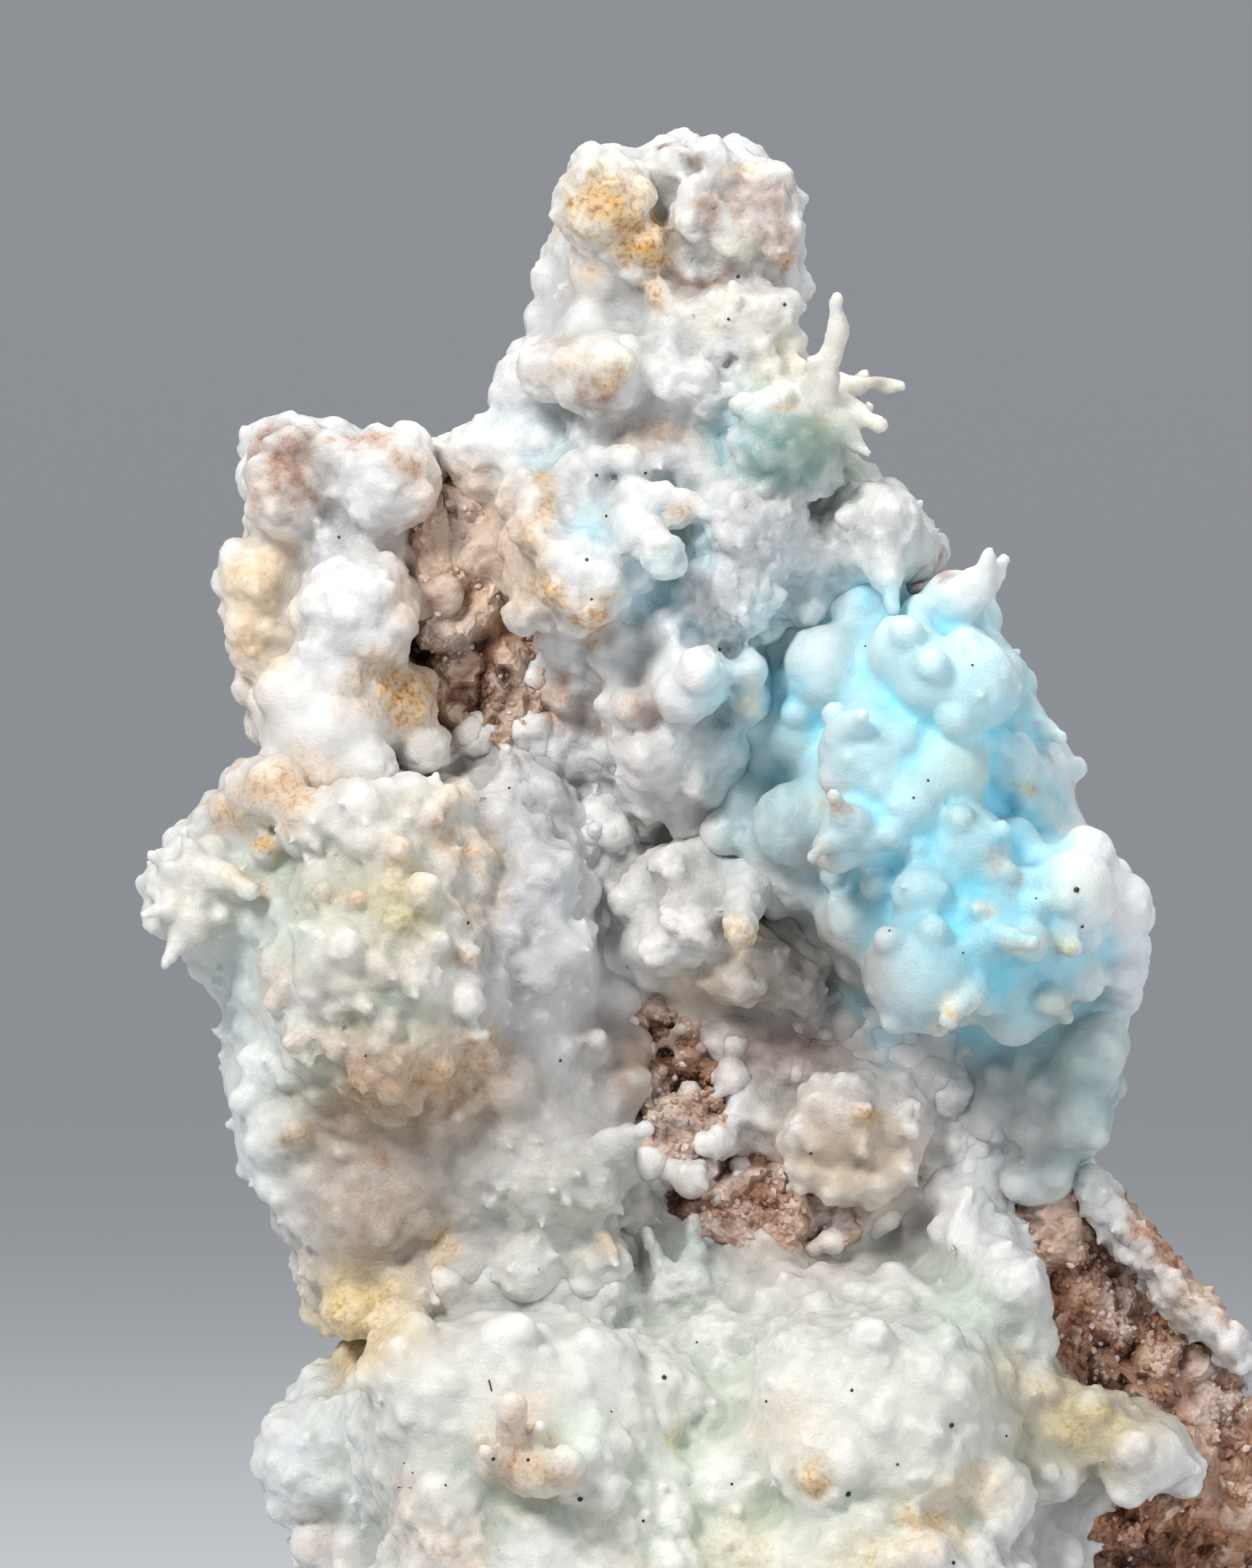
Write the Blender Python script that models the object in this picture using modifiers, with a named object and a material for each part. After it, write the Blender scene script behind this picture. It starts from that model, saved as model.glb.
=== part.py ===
"""A standing specimen of coral-like aragonite, white, cream and sky blue, grown on a brown
iron-stained rock. The rock is one solid, and so is each growth that bare rock or a seam sets
apart. A growth is a crust swollen from its outline, with lumps, buds and fingers fused to it.

Lengths below are in millimetres on a specimen 133.4 mm tall. X runs to the right, Y away
from the viewer and Z up, and the flat foot lies in the plane Z = 0. At the end everything is
moved in X and Y, so that the origin lies under the middle of the specimen.
"""

import math

import bmesh
import bpy
import numpy as np
from mathutils import Matrix, Vector
from mathutils.bvhtree import BVHTree
from mathutils.kdtree import KDTree

HEIGHT = 0.1334                  # foot to summit, in metres
TOP = 133.4                      # drawn height of the summit
MM = HEIGHT / TOP                # one drawn millimetre, in metres

ROUGH_GAP = 0.8                  # clearance first cut between two solids that touch
GAP = 0.45                       # least clearance that is left when the faces are thinned out
GRAIN = 0.6                      # voxel that fuses a growth, and of a clearance
ROCK_GRAIN = 1.0                 # voxel of the rock
SHEET_GRAIN = 1.2                # voxel of a crust's sheet, before it is swollen
SHEET_HALF = 4.0                 # half thickness of the sheet that a crust is swollen from
EDGE_SHARE = 0.16                # a crust's thickness at its outline, as a share of its middle
ROUGH_FACES = 6                  # faces kept until the cuts are made, for each one at the end
CUTTER_FACES = 5                 # faces of a clearance, for each one of its solid

BUD_LIFT = 0.12                  # how far a bud's centre is above the crust, in radii
BEAD_SIZE = 5.5                  # spacing of the small lumps that cover every growth
BEAD_RISE = 0.7                  # height of those lumps
BEAD_REACH = 0.75                # radius of a small lump, as a share of the spacing
BEAD_SEED = 3                    # picks where the small lumps stand
EDGE_STEP = 3                    # a lump on the edge at every so many points of the outline
EDGE_RADII = (1.0, 1.9)          # least and greatest radius of those lumps
EDGE_SPREAD = (-6, 5)            # how far they stray from the plane, to the front and back
EDGE_SINK = 0.35                 # how far they are sunk in the crust, in radii
EDGE_SEED = 5                    # picks their sizes and places
CHUNK_SIZE = 9.0                 # spacing of the broken faces of the rock
CHUNK_RISE = 1.5                 # height of those faces
CHUNK_SEED = 8                   # picks how the rock is broken
FOOT_DROP = -9.0                 # how far an outline reaches below the foot before it is cut
FAR_FRONT = -90.0                # where a line of sight starts

# An outline goes clockwise from the top, as x, z.
ROCK = {
    "outline": [
        (1, 126), (9, 126), (11, 120), (11.5, 111), (19, 101.5), (24.5, 96), (30, 88), (34.5, 80),
        (38, 72), (40, 66), (38.5, 58), (37.3, 50), (39, 46.5), (42, 42.7), (46, 38), (47.3, 35.5),
        (51.5, 31.5), (54.5, 26), (56.5, 18), (57, 8), (55.5, FOOT_DROP), (-21, FOOT_DROP),
        (-21.3, 15), (-22.8, 26), (-20.8, 32), (-22.8, 40), (-26.8, 48), (-28.8, 56), (-29.8, 64),
        (-30.3, 72), (-27.3, 80), (-28.3, 90), (-28.1, 100), (-28.3, 107.3), (-24, 107),
        (-18.5, 104.6), (-15.5, 104.3), (-11, 106.5), (-7.5, 109), (-5.5, 115), (-3.5, 122),
    ],
    "plane": 11, "front": (10, 9), "back": (17, 6), "rounding": 7,
    "faces": 1650, "colour": (0.30, 0.17, 0.10), "roughness": 0.9,
}

# A growth's plane is where its outline lies. Its front and back give how far it swells from
# there, at the foot and at the summit. Its lumps are centre x, y, z, half width, depth and
# height, then lean in degrees. Its buds are x, z and radius, as seen from the front. Its
# fingers are root x, z, tip x, z, radius at the root and at the tip, and reach to the viewer.

# The growth at the foot, whose two domes bulge towards the viewer.
BASE = {
    "outline": [
        (-13, 37.6), (-5, 37.2), (2, 35.6), (8, 37.2), (10.5, 40), (19, 40.2), (25, 39.8),
        (29, 43), (31.5, 41), (35, 36), (37.5, 30.5), (45, 28.5), (48.5, 24), (46.5, 20.4),
        (39, 20), (35.2, 17), (37, 12), (36.5, FOOT_DROP), (-25.5, FOOT_DROP), (-26.4, 8),
        (-26.4, 17.5), (-28.4, 21.5), (-28, 28.5), (-25, 30.8), (-19, 35.4),
    ],
    "plane": 5, "front": (16, 12), "back": (9, 8), "rounding": 9,
    "lumps": [
        (-9, -10, 26, 14, 13, 10.4, 0), (-6, -12, 10, 16, 14, 13, 0),
        (20, -10, 27, 11.6, 13, 9.6, 0), (20, -12, 10, 14, 13, 13, 0),
        (-25, 0, 24.6, 3.2, 7.4, 5, 0), (-22, -4, 9, 4.4, 8.6, 8.6, 0),
        (40.5, -2, 24.4, 6.6, 6, 3.4, 20), (30.5, -2, 39, 3.2, 6, 3.4, 0),
        (27.6, 0, 43, 2.2, 4.4, 3.6, 14),
    ],
    "buds": [
        (-25.6, 27, 2.2), (-26, 23, 2.4), (-25, 17, 2.1), (-18, 32, 3.6), (-10, 34, 3.2),
        (-2, 33, 3), (5, 30, 3), (-15, 20, 3.6), (-3, 24, 3), (3, 20, 3.4), (10, 25, 2.8),
        (14, 34.4, 2.6), (20, 34, 2.8), (26, 33, 2.8), (9.4, 37.4, 2), (13.4, 38.2, 1.8),
        (18, 38.4, 2), (22.6, 38, 1.9), (31.8, 38.2, 2.1), (33.2, 34, 2), (38, 27, 2),
        (34.5, 23, 1.5), (42, 24.6, 2.6), (45.6, 23, 1.9), (29.6, 22, 3.2), (24, 17, 3),
        (15, 22.6, 2.4), (-20, 10, 3.2), (-11, 10, 3.4), (-2, 11, 3.6), (7, 12, 3.2),
        (16, 11, 3.4), (26, 8, 3.2), (33, 11, 2.4), (28.4, 46, 1.5), (26.6, 42, 1.5),
    ],
    "fingers": [
        (-9, 24.4, -9, 30, 1.3, 0.8, 2.6), (-9.4, 24, -12.2, 25.2, 1.1, 0.7, 2),
        (-8, 23.6, -4.6, 24.3, 1.6, 1.1, 2.2), (-7.2, 25.6, -6.4, 28, 0.8, 0.6, 2),
        (43.6, 25, 45.2, 27, 1.4, 0.9, 1), (46, 23.4, 48.6, 23, 1.4, 0.8, 0.6),
        (34.6, 17.4, 37.4, 16.4, 1.1, 0.7, 1.2), (3.4, 36.6, 1.9, 42.4, 1.2, 0.7, 0.6),
        (5.4, 37.6, 5.6, 43.4, 1.2, 0.7, 0.8),
    ],
    "faces": 1900, "colour": (0.78, 0.82, 0.78), "roughness": 0.45,
}

# The cream growth on the left, with its spiky knob and the shelf below.
CREAM = {
    "outline": [
        (-12, 82.2), (-7, 82.6), (-4, 79), (-2.4, 72), (-1.2, 66), (-1, 58), (-0.6, 54.5),
        (1.4, 51.6), (2.2, 47.5), (0.6, 43), (-2, 39.4), (-7, 38.4), (-12, 39.4), (-16, 38.6),
        (-20, 34.6), (-24, 31.5), (-24.8, 34), (-27, 38.4), (-27, 41.5), (-29.2, 44.5),
        (-31.6, 48.8), (-33.2, 54.5), (-33.2, 60.5), (-35, 64), (-38, 66.3), (-39, 70),
        (-37.2, 74.6), (-34.4, 78), (-30.5, 82), (-24, 80.4), (-17, 80.6),
    ],
    "plane": 5, "front": (12, 11), "back": (9, 8), "rounding": 9,
    "lumps": [
        (-19.5, -4, 64, 10.6, 12.4, 12.6, 0), (-8, -1, 66, 5.6, 7.8, 9, 0),
        (-20, -4, 75.5, 8.6, 9, 4.4, 0), (-35.4, 0, 70.4, 3.4, 5.6, 4.8, 0),
        (-21.5, -1, 43.5, 6, 7.6, 5.6, 0), (-6, -3, 46, 5.8, 7, 4.6, 0),
        (-29, 1, 52, 3, 6.4, 6.6, 12), (-30, 0, 78.6, 2.8, 5.4, 3, -35),
    ],
    "buds": [
        (-29.6, 79, 2.4), (-33, 77.2, 1.3), (-29.5, 74, 1.6), (-35.4, 72.4, 2), (-36, 68.4, 1.9),
        (-33.2, 67.6, 1.3), (-26, 76.4, 2.1), (-22, 77.6, 2.1), (-18, 78.8, 2), (-14.4, 78.2, 1.6),
        (-15.6, 75.8, 1.3), (-18.6, 73.8, 1.9), (-12, 73.4, 1.6), (-24.6, 70.4, 1.4),
        (-21.6, 69.8, 1.3), (-12.8, 65.6, 1.5), (-28.6, 61.6, 1.4), (-27, 57.6, 1.5),
        (-12.2, 59, 1.6), (-2.8, 58.2, 1.3), (-27.2, 50.8, 1.6), (-14, 52.3, 1.4), (-6.6, 52, 1.6),
        (-10, 55, 2.2), (-31, 53.4, 1.8), (-29.6, 49, 1.7), (-27.6, 45.4, 1.7), (-6.4, 72, 3),
        (-4.8, 66, 2.6), (-20, 56, 2.6), (-16.4, 46.4, 2.2), (-22.2, 36.6, 2.2), (-10, 42, 2),
        (-2, 48.2, 1.8), (-2.6, 41.6, 1.6), (-24.6, 65.4, 2.2), (-16.6, 69.6, 2), (-18, 63, 2),
        (-9, 81, 1.5),
    ],
    "fingers": [
        (-34.6, 72, -30.6, 70.6, 1.2, 0.8, 2.4), (-35, 74, -36, 75.4, 0.9, 0.6, 1),
        (-37, 72, -38.8, 73.4, 0.9, 0.6, 1), (-37.4, 69.4, -39.3, 68.8, 0.9, 0.6, 0.8),
        (-36.6, 66.6, -37.8, 64.8, 0.9, 0.6, 0.8), (-25.4, 61, -20.6, 61.2, 0.9, 0.7, 1.4),
        (-1.4, 49.6, 1.6, 51.2, 1, 0.6, 1.6), (-2, 42, -0.8, 40, 1, 0.6, 1.8),
        (-9.6, 81, -9.8, 82.4, 0.8, 0.6, 0.8),
    ],
    "faces": 1700, "colour": (0.8, 0.78, 0.7), "roughness": 0.5,
}

# The white growth on the spire at the left.
SPIRE = {
    "outline": [
        (-24, 109.3), (-17.5, 107), (-15.8, 105.2), (-17.5, 101.5), (-19, 97), (-19.3, 91),
        (-15.8, 87.5), (-15.2, 83.5), (-18, 81), (-24, 80.4), (-29.3, 82), (-31.3, 84),
        (-31.5, 86), (-32.6, 89), (-32.6, 95), (-31.2, 100), (-31.4, 106), (-30.4, 109.6),
        (-28, 110.4),
    ],
    "plane": 6, "front": (9, 7), "back": (8, 6), "rounding": 6,
    "lumps": [
        (-24.5, -1, 84, 6.6, 9.4, 5, 0), (-23, 0, 93, 4.4, 6.6, 5.2, 0),
        (-27.5, 1, 104, 4.2, 5.4, 5.6, 0), (-21, 1, 102.6, 4.6, 5.4, 3.2, 20),
    ],
    "buds": [
        (-20.6, 103, 2.6), (-24, 99, 2.8), (-22.6, 93.6, 3.2), (-23.6, 89.6, 2.4),
        (-29.6, 96, 2.6), (-30.4, 92.6, 2), (-30.8, 89.8, 1.6), (-18.2, 86.4, 2.8),
        (-28.4, 106.6, 2.2), (-25, 107, 2), (-27.6, 102.4, 2.2), (-20.4, 98, 2), (-27.6, 87.6, 2),
    ],
    "fingers": [],
    "faces": 620, "colour": (0.8, 0.77, 0.74), "roughness": 0.45,
}

# The growth on the summit, its neck, its sprig and the lumps below them.
SUMMIT = {
    "outline": [
        (5, 132.6), (9.5, 131.7), (11.2, 130.2), (13.6, 129.3), (14.6, 127), (14.2, 123.5),
        (14.7, 120.3), (13.4, 117), (14.5, 113.5), (17.2, 110.5), (18.2, 106.6), (22, 103.6),
        (25.2, 101), (26.6, 97.3), (23, 96), (18.5, 92.3), (13.2, 89.6), (12, 84), (11, 78.6),
        (7.5, 75.8), (2, 74.6), (-2, 76), (-3, 80), (-5.2, 84.6), (-7.6, 88), (-9.8, 92.5),
        (-12.3, 96.5), (-13.2, 101), (-15.6, 105.8), (-13.5, 108.4), (-10.2, 110.2),
        (-10.2, 113.3), (-7.2, 118.3), (-6.9, 122.5), (-5.2, 126), (-4.9, 129.8), (-2.4, 131.6),
        (-0.6, 130.5), (2.2, 132.5),
    ],
    "plane": 5, "front": (10, 9), "back": (9, 8), "rounding": 9,
    "lumps": [
        (8.5, 2, 125.5, 5.6, 8.6, 7, 0), (-1.5, 0, 126.5, 3.4, 5.6, 4.6, 0),
        (8.5, 0, 118.8, 5.4, 6.8, 2.6, 0), (-1.5, 0, 113.5, 7, 8.2, 4.2, 0),
        (5, 0, 111, 5.2, 7, 5, 0), (13.6, -3, 109.5, 4, 7.4, 4.6, 0),
        (-3, -2, 98.5, 7.8, 9.6, 7.8, 0), (10, -1, 98, 5, 7.6, 5.8, 0),
        (19.5, 0, 99.4, 6.2, 7.4, 3.8, 25), (4, -1, 89, 7, 7.4, 5.4, 0),
        (5, 0, 81.5, 5.4, 6, 4.6, 0),
    ],
    "buds": [
        (-3, 129.6, 2.2), (-1.8, 127, 2.8), (-2.6, 121.4, 2.4), (1.5, 123.2, 2.2),
        (2.8, 119.6, 1.8), (3.4, 130.2, 2.2), (7.5, 130, 2.4), (11.6, 128.2, 2),
        (12.2, 124.4, 1.8), (6.4, 126.4, 2.2), (5.4, 118.2, 1.8), (8.6, 117.9, 2),
        (11.8, 118.6, 2), (-6.3, 114, 2.1), (-1.6, 113.2, 2.7), (-8.4, 111.4, 2.2), (5, 112, 3.6),
        (0.6, 108, 1.8), (12.3, 114.2, 2.3), (9.7, 112.7, 1.3), (10, 109.8, 1.2),
        (13.8, 107.6, 2.8), (8, 104.6, 2), (11.3, 104.4, 2.3), (14.6, 102.6, 2.1),
        (-12.4, 106.6, 1.8), (-9, 107.4, 1.6), (-7.4, 99.6, 1.7), (-6.5, 103, 1.5),
        (-3.5, 96.6, 2.8), (-5.6, 95.1, 1.3), (-2.7, 93.3, 1.7), (3.6, 92, 1.3), (-8.4, 93.6, 1.9),
        (-5.4, 90, 1.9), (10, 100, 3.3), (9, 95.4, 3), (14.8, 93.6, 2.1), (11.5, 91.8, 2.2),
        (15.8, 98, 2.8), (20.6, 100.2, 2.8), (23.8, 98.6, 2.4), (5, 87.8, 2.6), (10, 87.2, 2.2),
        (0.5, 85.6, 2), (-5, 86.6, 1.4), (2.6, 82, 2.4), (8.6, 82, 1.8), (6, 79, 1.8),
    ],
    "fingers": [
        (16.2, 110.5, 17.2, 118.3, 1.1, 0.6, 2.5), (17, 112.4, 22.4, 112.1, 0.9, 0.7, 2),
        (17, 110.2, 20.2, 108.8, 0.9, 0.7, 1.5), (14.6, 111.5, 15, 114.2, 0.9, 0.7, 2.5),
        (0.4, 103, 6.8, 101.5, 1.6, 1.2, 2), (0.4, 100.6, 3, 97.8, 2, 1.9, 3),
        (-4.4, 105.4, 0, 106, 1.2, 1, 2), (21, 98, 22, 93.6, 1.7, 0.8, 2),
    ],
    "faces": 1900, "colour": (0.8, 0.77, 0.76), "roughness": 0.45,
}

# The blue growth on the right, with its horn.
BLUE = {
    "outline": [
        (24, 95.8), (28, 96.8), (30.4, 95.2), (30, 92.3), (33, 88), (34.8, 84.5), (37.2, 81),
        (36.4, 78.4), (38.5, 74.8), (41.5, 71.3), (43.1, 68.3), (42.6, 62), (40.5, 60), (41.1, 57),
        (39.8, 53), (38, 48.4), (33, 48.4), (30, 50.5), (29.5, 54), (31.5, 57.6), (27, 58.6),
        (21, 60.3), (17.5, 62.5), (14, 66.5), (10.6, 70.6), (9, 74.6), (10.6, 79), (12.5, 84),
        (13.6, 89), (18, 91.6), (21, 94.6),
    ],
    "plane": 5, "front": (12, 10), "back": (9, 8), "rounding": 9,
    "lumps": [
        (24.5, -2, 87, 8.4, 10.4, 7.6, 0), (21, -3, 77, 8.4, 10.6, 7, 0),
        (28.5, -4, 67.5, 10.6, 12, 8, 0), (26.5, 0, 93.8, 3, 4.4, 2.4, 0),
        (36.5, 0, 71, 4.4, 9.6, 4.4, 0), (38, 1, 56, 2.8, 6, 4, 0),
    ],
    "buds": [
        (16.5, 88.8, 3.2), (14.6, 83.5, 2.9), (22.4, 90.6, 2.7), (24.8, 87.8, 3),
        (28.4, 87.6, 3.6), (20, 81.6, 3.6), (26, 80.6, 3.5), (22.6, 77.6, 2.3), (19, 75.4, 2.5),
        (22, 74.8, 1.9), (28, 74, 3), (31.4, 81, 2.4), (33.2, 84.8, 1.9), (34.4, 80.5, 1.5),
        (33.8, 77, 1.8), (36.6, 70.6, 3), (24, 64, 3.6), (34.4, 61.6, 2.1), (31.4, 60.4, 2.3),
        (40.4, 64, 2.3), (37.6, 63.2, 1.9), (40.6, 69.4, 2.2), (38, 74, 2.1), (13.6, 76, 3),
        (10.8, 79.6, 2.1), (12.6, 70.2, 2.2), (17.8, 68, 2.8), (24.4, 93.4, 2), (37, 52, 2.4),
        (38.4, 57, 2.4), (30.4, 66.8, 2.2), (24.6, 70, 2.4), (20.6, 63.4, 2), (33.2, 50, 1.5),
        (30.4, 51.4, 1.3),
    ],
    "fingers": [
        (27, 94, 29.6, 97.8, 2.1, 0.8, 2), (28.6, 95.6, 30.7, 97.4, 1.2, 0.7, 1),
        (18, 75.8, 16.9, 78.4, 1.2, 0.6, 3), (17.6, 75, 15.1, 73.4, 1.3, 0.7, 2.6),
        (18, 83.6, 19.2, 85.2, 1.2, 0.9, 2.4), (28.2, 62.6, 26.2, 60.2, 1.5, 0.9, 2.8),
        (30, 75, 30.6, 77, 1, 0.7, 1.6), (34, 84, 35.8, 83.2, 0.9, 0.6, 0.4),
        (35.8, 81, 37.5, 80.6, 1.2, 0.8, 0.4), (36.4, 68.4, 36.2, 66.4, 1.5, 1, 2.2),
    ],
    "faces": 1550, "colour": (0.42, 0.74, 0.84), "roughness": 0.4,
}

# The white cauliflower in the middle, under its bright finger.
CENTRE = {
    "outline": [
        (4, 75), (8.6, 75.4), (11, 71), (14, 67.4), (17.6, 63), (15, 59.6), (9, 60.8), (3, 61.6),
        (-0.2, 64.4), (-1.4, 69), (0, 73),
    ],
    "plane": 3, "front": (6, 6), "back": (5, 5), "rounding": 4,
    "lumps": [],
    "buds": [
        (5.6, 67.6, 2.8), (2.6, 65.6, 1.8), (-0.4, 70, 1.3), (3.8, 72.4, 1.7), (7.4, 71.6, 1.6),
        (12, 65, 2.4), (9.4, 64, 1.9), (14.6, 62.6, 1.6),
    ],
    "fingers": [
        (9.8, 71.6, 9.4, 67.8, 1.9, 1.3, 4),
    ],
    "faces": 280, "colour": (0.76, 0.74, 0.76), "roughness": 0.45,
}

# The tan rosette.
ROSETTE = {
    "outline": [
        (19, 56), (23.5, 55.5), (26, 52), (24.5, 47.6), (22, 45.6), (19.3, 46), (17.3, 44.8),
        (15, 46.2), (12.8, 48.4), (12.6, 52), (15, 54.6),
    ],
    "plane": 2, "front": (5, 5), "back": (4, 4), "rounding": 3,
    "lumps": [],
    "buds": [
        (15.2, 47.2, 1.6), (17.6, 46.2, 1.5), (20.6, 46.6, 1.7), (23, 47.8, 1.6),
        (17.4, 51.6, 2.2), (21.4, 51, 2), (23.8, 52, 1.7), (14.6, 50.6, 1.8), (19.6, 54.2, 1.7),
    ],
    "fingers": [],
    "faces": 240, "colour": (0.76, 0.65, 0.52), "roughness": 0.5,
}

# The narrow white crust along the bare slope at the right.
RIM = {
    "outline": [
        (38, 48), (40, 46), (43, 42.6), (46.4, 39), (49.5, 35.4), (52.4, 31.2), (50.4, 30.6),
        (47.6, 33), (44.4, 35.8), (41.5, 39.6), (38.6, 42), (36.6, 45.4),
    ],
    "plane": 4, "front": (5, 5), "back": (4, 4), "rounding": 2,
    "lumps": [],
    "buds": [
        (38.6, 46.4, 1.7), (40.6, 43.6, 1.7), (42.8, 41, 1.8), (45, 38.6, 1.7), (47.4, 36.2, 1.8),
        (49.6, 33.8, 1.6), (51, 31.8, 1.3),
    ],
    "fingers": [],
    "faces": 240, "colour": (0.8, 0.79, 0.78), "roughness": 0.5,
}

# Each growth is cut clear of the rock and of the growths before it.
GROWTHS = {
    "base_growth": BASE, "cream_growth": CREAM, "spire_growth": SPIRE, "summit_growth": SUMMIT,
    "blue_growth": BLUE, "centre_growth": CENTRE, "tan_rosette": ROSETTE, "rim_crust": RIM,
}


def clear_scene():
    for thing in list(bpy.data.objects):
        bpy.data.objects.remove(thing, do_unlink=True)


def smooth_loop(points, steps=4):
    """A closed smooth line through the points, as rows of x and z."""
    start = np.array(points, dtype=float)
    before, end, after = (np.roll(start, shift, axis=0) for shift in (1, -1, -2))
    rows = []
    for t in np.arange(steps) / steps:
        row = start + (end - before) * t / 2
        row += (2 * before - 5 * start + 4 * end - after) * t ** 2 / 2
        row += (3 * start - before - 3 * end + after) * t ** 3 / 2
        rows.append(row)
    return np.stack(rows, axis=1).reshape(-1, 2)


def distance_to_line(places, line):
    """The distance of each place from the nearest stretch of a closed line."""
    nearest = np.full(len(places), 1e9)
    for start, end in zip(line, np.roll(line, -1, axis=0)):
        along = end - start
        share = np.clip((places - start) @ along / max(along @ along, 1e-9), 0, 1)
        foot = start + share[:, None] * along
        nearest = np.minimum(nearest, np.linalg.norm(places - foot, axis=1))
    return nearest


def evaluated_mesh(thing):
    graph = bpy.context.evaluated_depsgraph_get()
    return bpy.data.meshes.new_from_object(thing.evaluated_get(graph))


def settle(thing):
    """Applies an object's modifiers."""
    mesh = evaluated_mesh(thing)
    thing.modifiers.clear()
    thing.data = mesh


def read_places(thing):
    """Every vertex of an object, as rows of x, y and z."""
    flat = np.empty(3 * len(thing.data.vertices))
    thing.data.vertices.foreach_get("co", flat)
    return flat.reshape(-1, 3)


def write_places(thing, places):
    thing.data.vertices.foreach_set("co", places.ravel())
    thing.data.update()


def push_out(thing, heights):
    """Moves every vertex along its normal, by a height in millimetres."""
    normals = np.empty(3 * len(thing.data.vertices))
    thing.data.vertex_normals.foreach_get("vector", normals)
    write_places(thing, read_places(thing) + normals.reshape(-1, 3) * heights[:, None] * MM)


def remesh(thing, voxel):
    grid = thing.modifiers.new("fuse", "REMESH")
    grid.mode = "VOXEL"
    grid.voxel_size = voxel * MM


def soften(thing, rounds):
    smooth = thing.modifiers.new("fillet", "SMOOTH")
    smooth.factor = 0.5
    smooth.iterations = rounds


def swollen_sheet(name, spec, collection):
    """A flat sheet with the outline, swollen to the front and to the back of its plane."""
    line = smooth_loop(spec["outline"])
    curve = bpy.data.curves.new(name, "CURVE")
    curve.dimensions = "2D"
    curve.fill_mode = "BOTH"
    curve.extrude = SHEET_HALF * MM
    spline = curve.splines.new("POLY")
    spline.points.add(len(line) - 1)
    for point, (x, z) in zip(spline.points, line * MM):
        point.co = (x, z, 0, 1)
    spline.use_cyclic_u = True
    flat = bpy.data.objects.new(name, curve)
    collection.objects.link(flat)
    mesh = evaluated_mesh(flat)
    bpy.data.objects.remove(flat)
    mesh.transform(Matrix.Rotation(math.radians(90), 4, "X"))
    thing = bpy.data.objects.new(name, mesh)
    collection.objects.link(thing)
    remesh(thing, SHEET_GRAIN)
    settle(thing)
    places = read_places(thing) / MM
    share = np.minimum(distance_to_line(places[:, [0, 2]], line) / spec["rounding"], 1)
    swell = np.maximum(EDGE_SHARE, np.sqrt(1 - (1 - share) ** 2))
    height = places[:, 2] / TOP
    front, back = (low + (high - low) * height for low, high in (spec["front"], spec["back"]))
    depth = np.where(places[:, 1] < 0, front, back)
    places[:, 1] = spec["plane"] + depth * swell * places[:, 1] / SHEET_HALF
    write_places(thing, places * MM)
    return thing


def add_lump(bm, centre, half, lean=0.0, detail=3):
    """An ellipsoid, leant about the viewing axis."""
    turn = Matrix.Rotation(math.radians(lean), 4, "Y")
    size = Matrix.Diagonal((*(MM * h for h in half), 1.0))
    place = Matrix.Translation(Vector(centre) * MM)
    bmesh.ops.create_icosphere(bm, subdivisions=detail, radius=1.0, matrix=place @ turn @ size)


def add_finger(bm, root, tip, root_radius, tip_radius):
    """A tapered finger with round ends."""
    along = tip - root
    turn = along.to_track_quat("Z", "Y").to_matrix().to_4x4()
    middle = Matrix.Translation((root + tip) * 0.5 * MM)
    bmesh.ops.create_cone(bm, cap_ends=True, segments=12, radius1=root_radius * MM,
                          radius2=tip_radius * MM, depth=along.length * MM, matrix=middle @ turn)
    for place, radius in ((root, root_radius), (tip, tip_radius)):
        add_lump(bm, place, (radius, radius, radius), detail=2)


def surface_at(tree, x, z):
    """Where the line of sight through x, z meets a growth, or else its nearest point."""
    hit, normal, _, _ = tree.ray_cast(Vector((x, FAR_FRONT, z)) * MM, Vector((0, 1, 0)))
    if hit is None:
        hit, normal, _, _ = tree.find_nearest(Vector((x, 0, z)) * MM)
    return hit / MM, normal


def fuse_with(thing, bm):
    """Joins the loose bodies in bm to the object and fuses them into one."""
    bm.from_mesh(thing.data)
    bm.to_mesh(thing.data)
    bm.free()
    remesh(thing, GRAIN)
    settle(thing)


def scattered_seeds(places, spacing, seed):
    """Points strewn through the room that an object takes up, and which is nearest each vertex."""
    chance = np.random.default_rng(seed)
    low = places.min(axis=0) - spacing
    steps = np.ceil((places.max(axis=0) + spacing - low) / spacing).astype(int)
    grid = np.stack(np.meshgrid(*(np.arange(n) for n in steps), indexing="ij"), axis=-1)
    seeds = low + (grid.reshape(-1, 3) + chance.random((steps.prod(), 3))) * spacing
    tree = KDTree(len(seeds))
    for i, point in enumerate(seeds):
        tree.insert(point, i)
    tree.balance()
    nearest = np.array([tree.find(place)[1] for place in places])
    return seeds, nearest, chance


def bead(thing):
    """Raises close-set round lumps all over."""
    places = read_places(thing) / MM
    seeds, nearest, _ = scattered_seeds(places, BEAD_SIZE, BEAD_SEED)
    offset = np.linalg.norm(places - seeds[nearest], axis=1) / BEAD_SIZE
    push_out(thing, BEAD_RISE * np.sqrt(np.maximum(0, 1 - (offset / BEAD_REACH) ** 2)))


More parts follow.
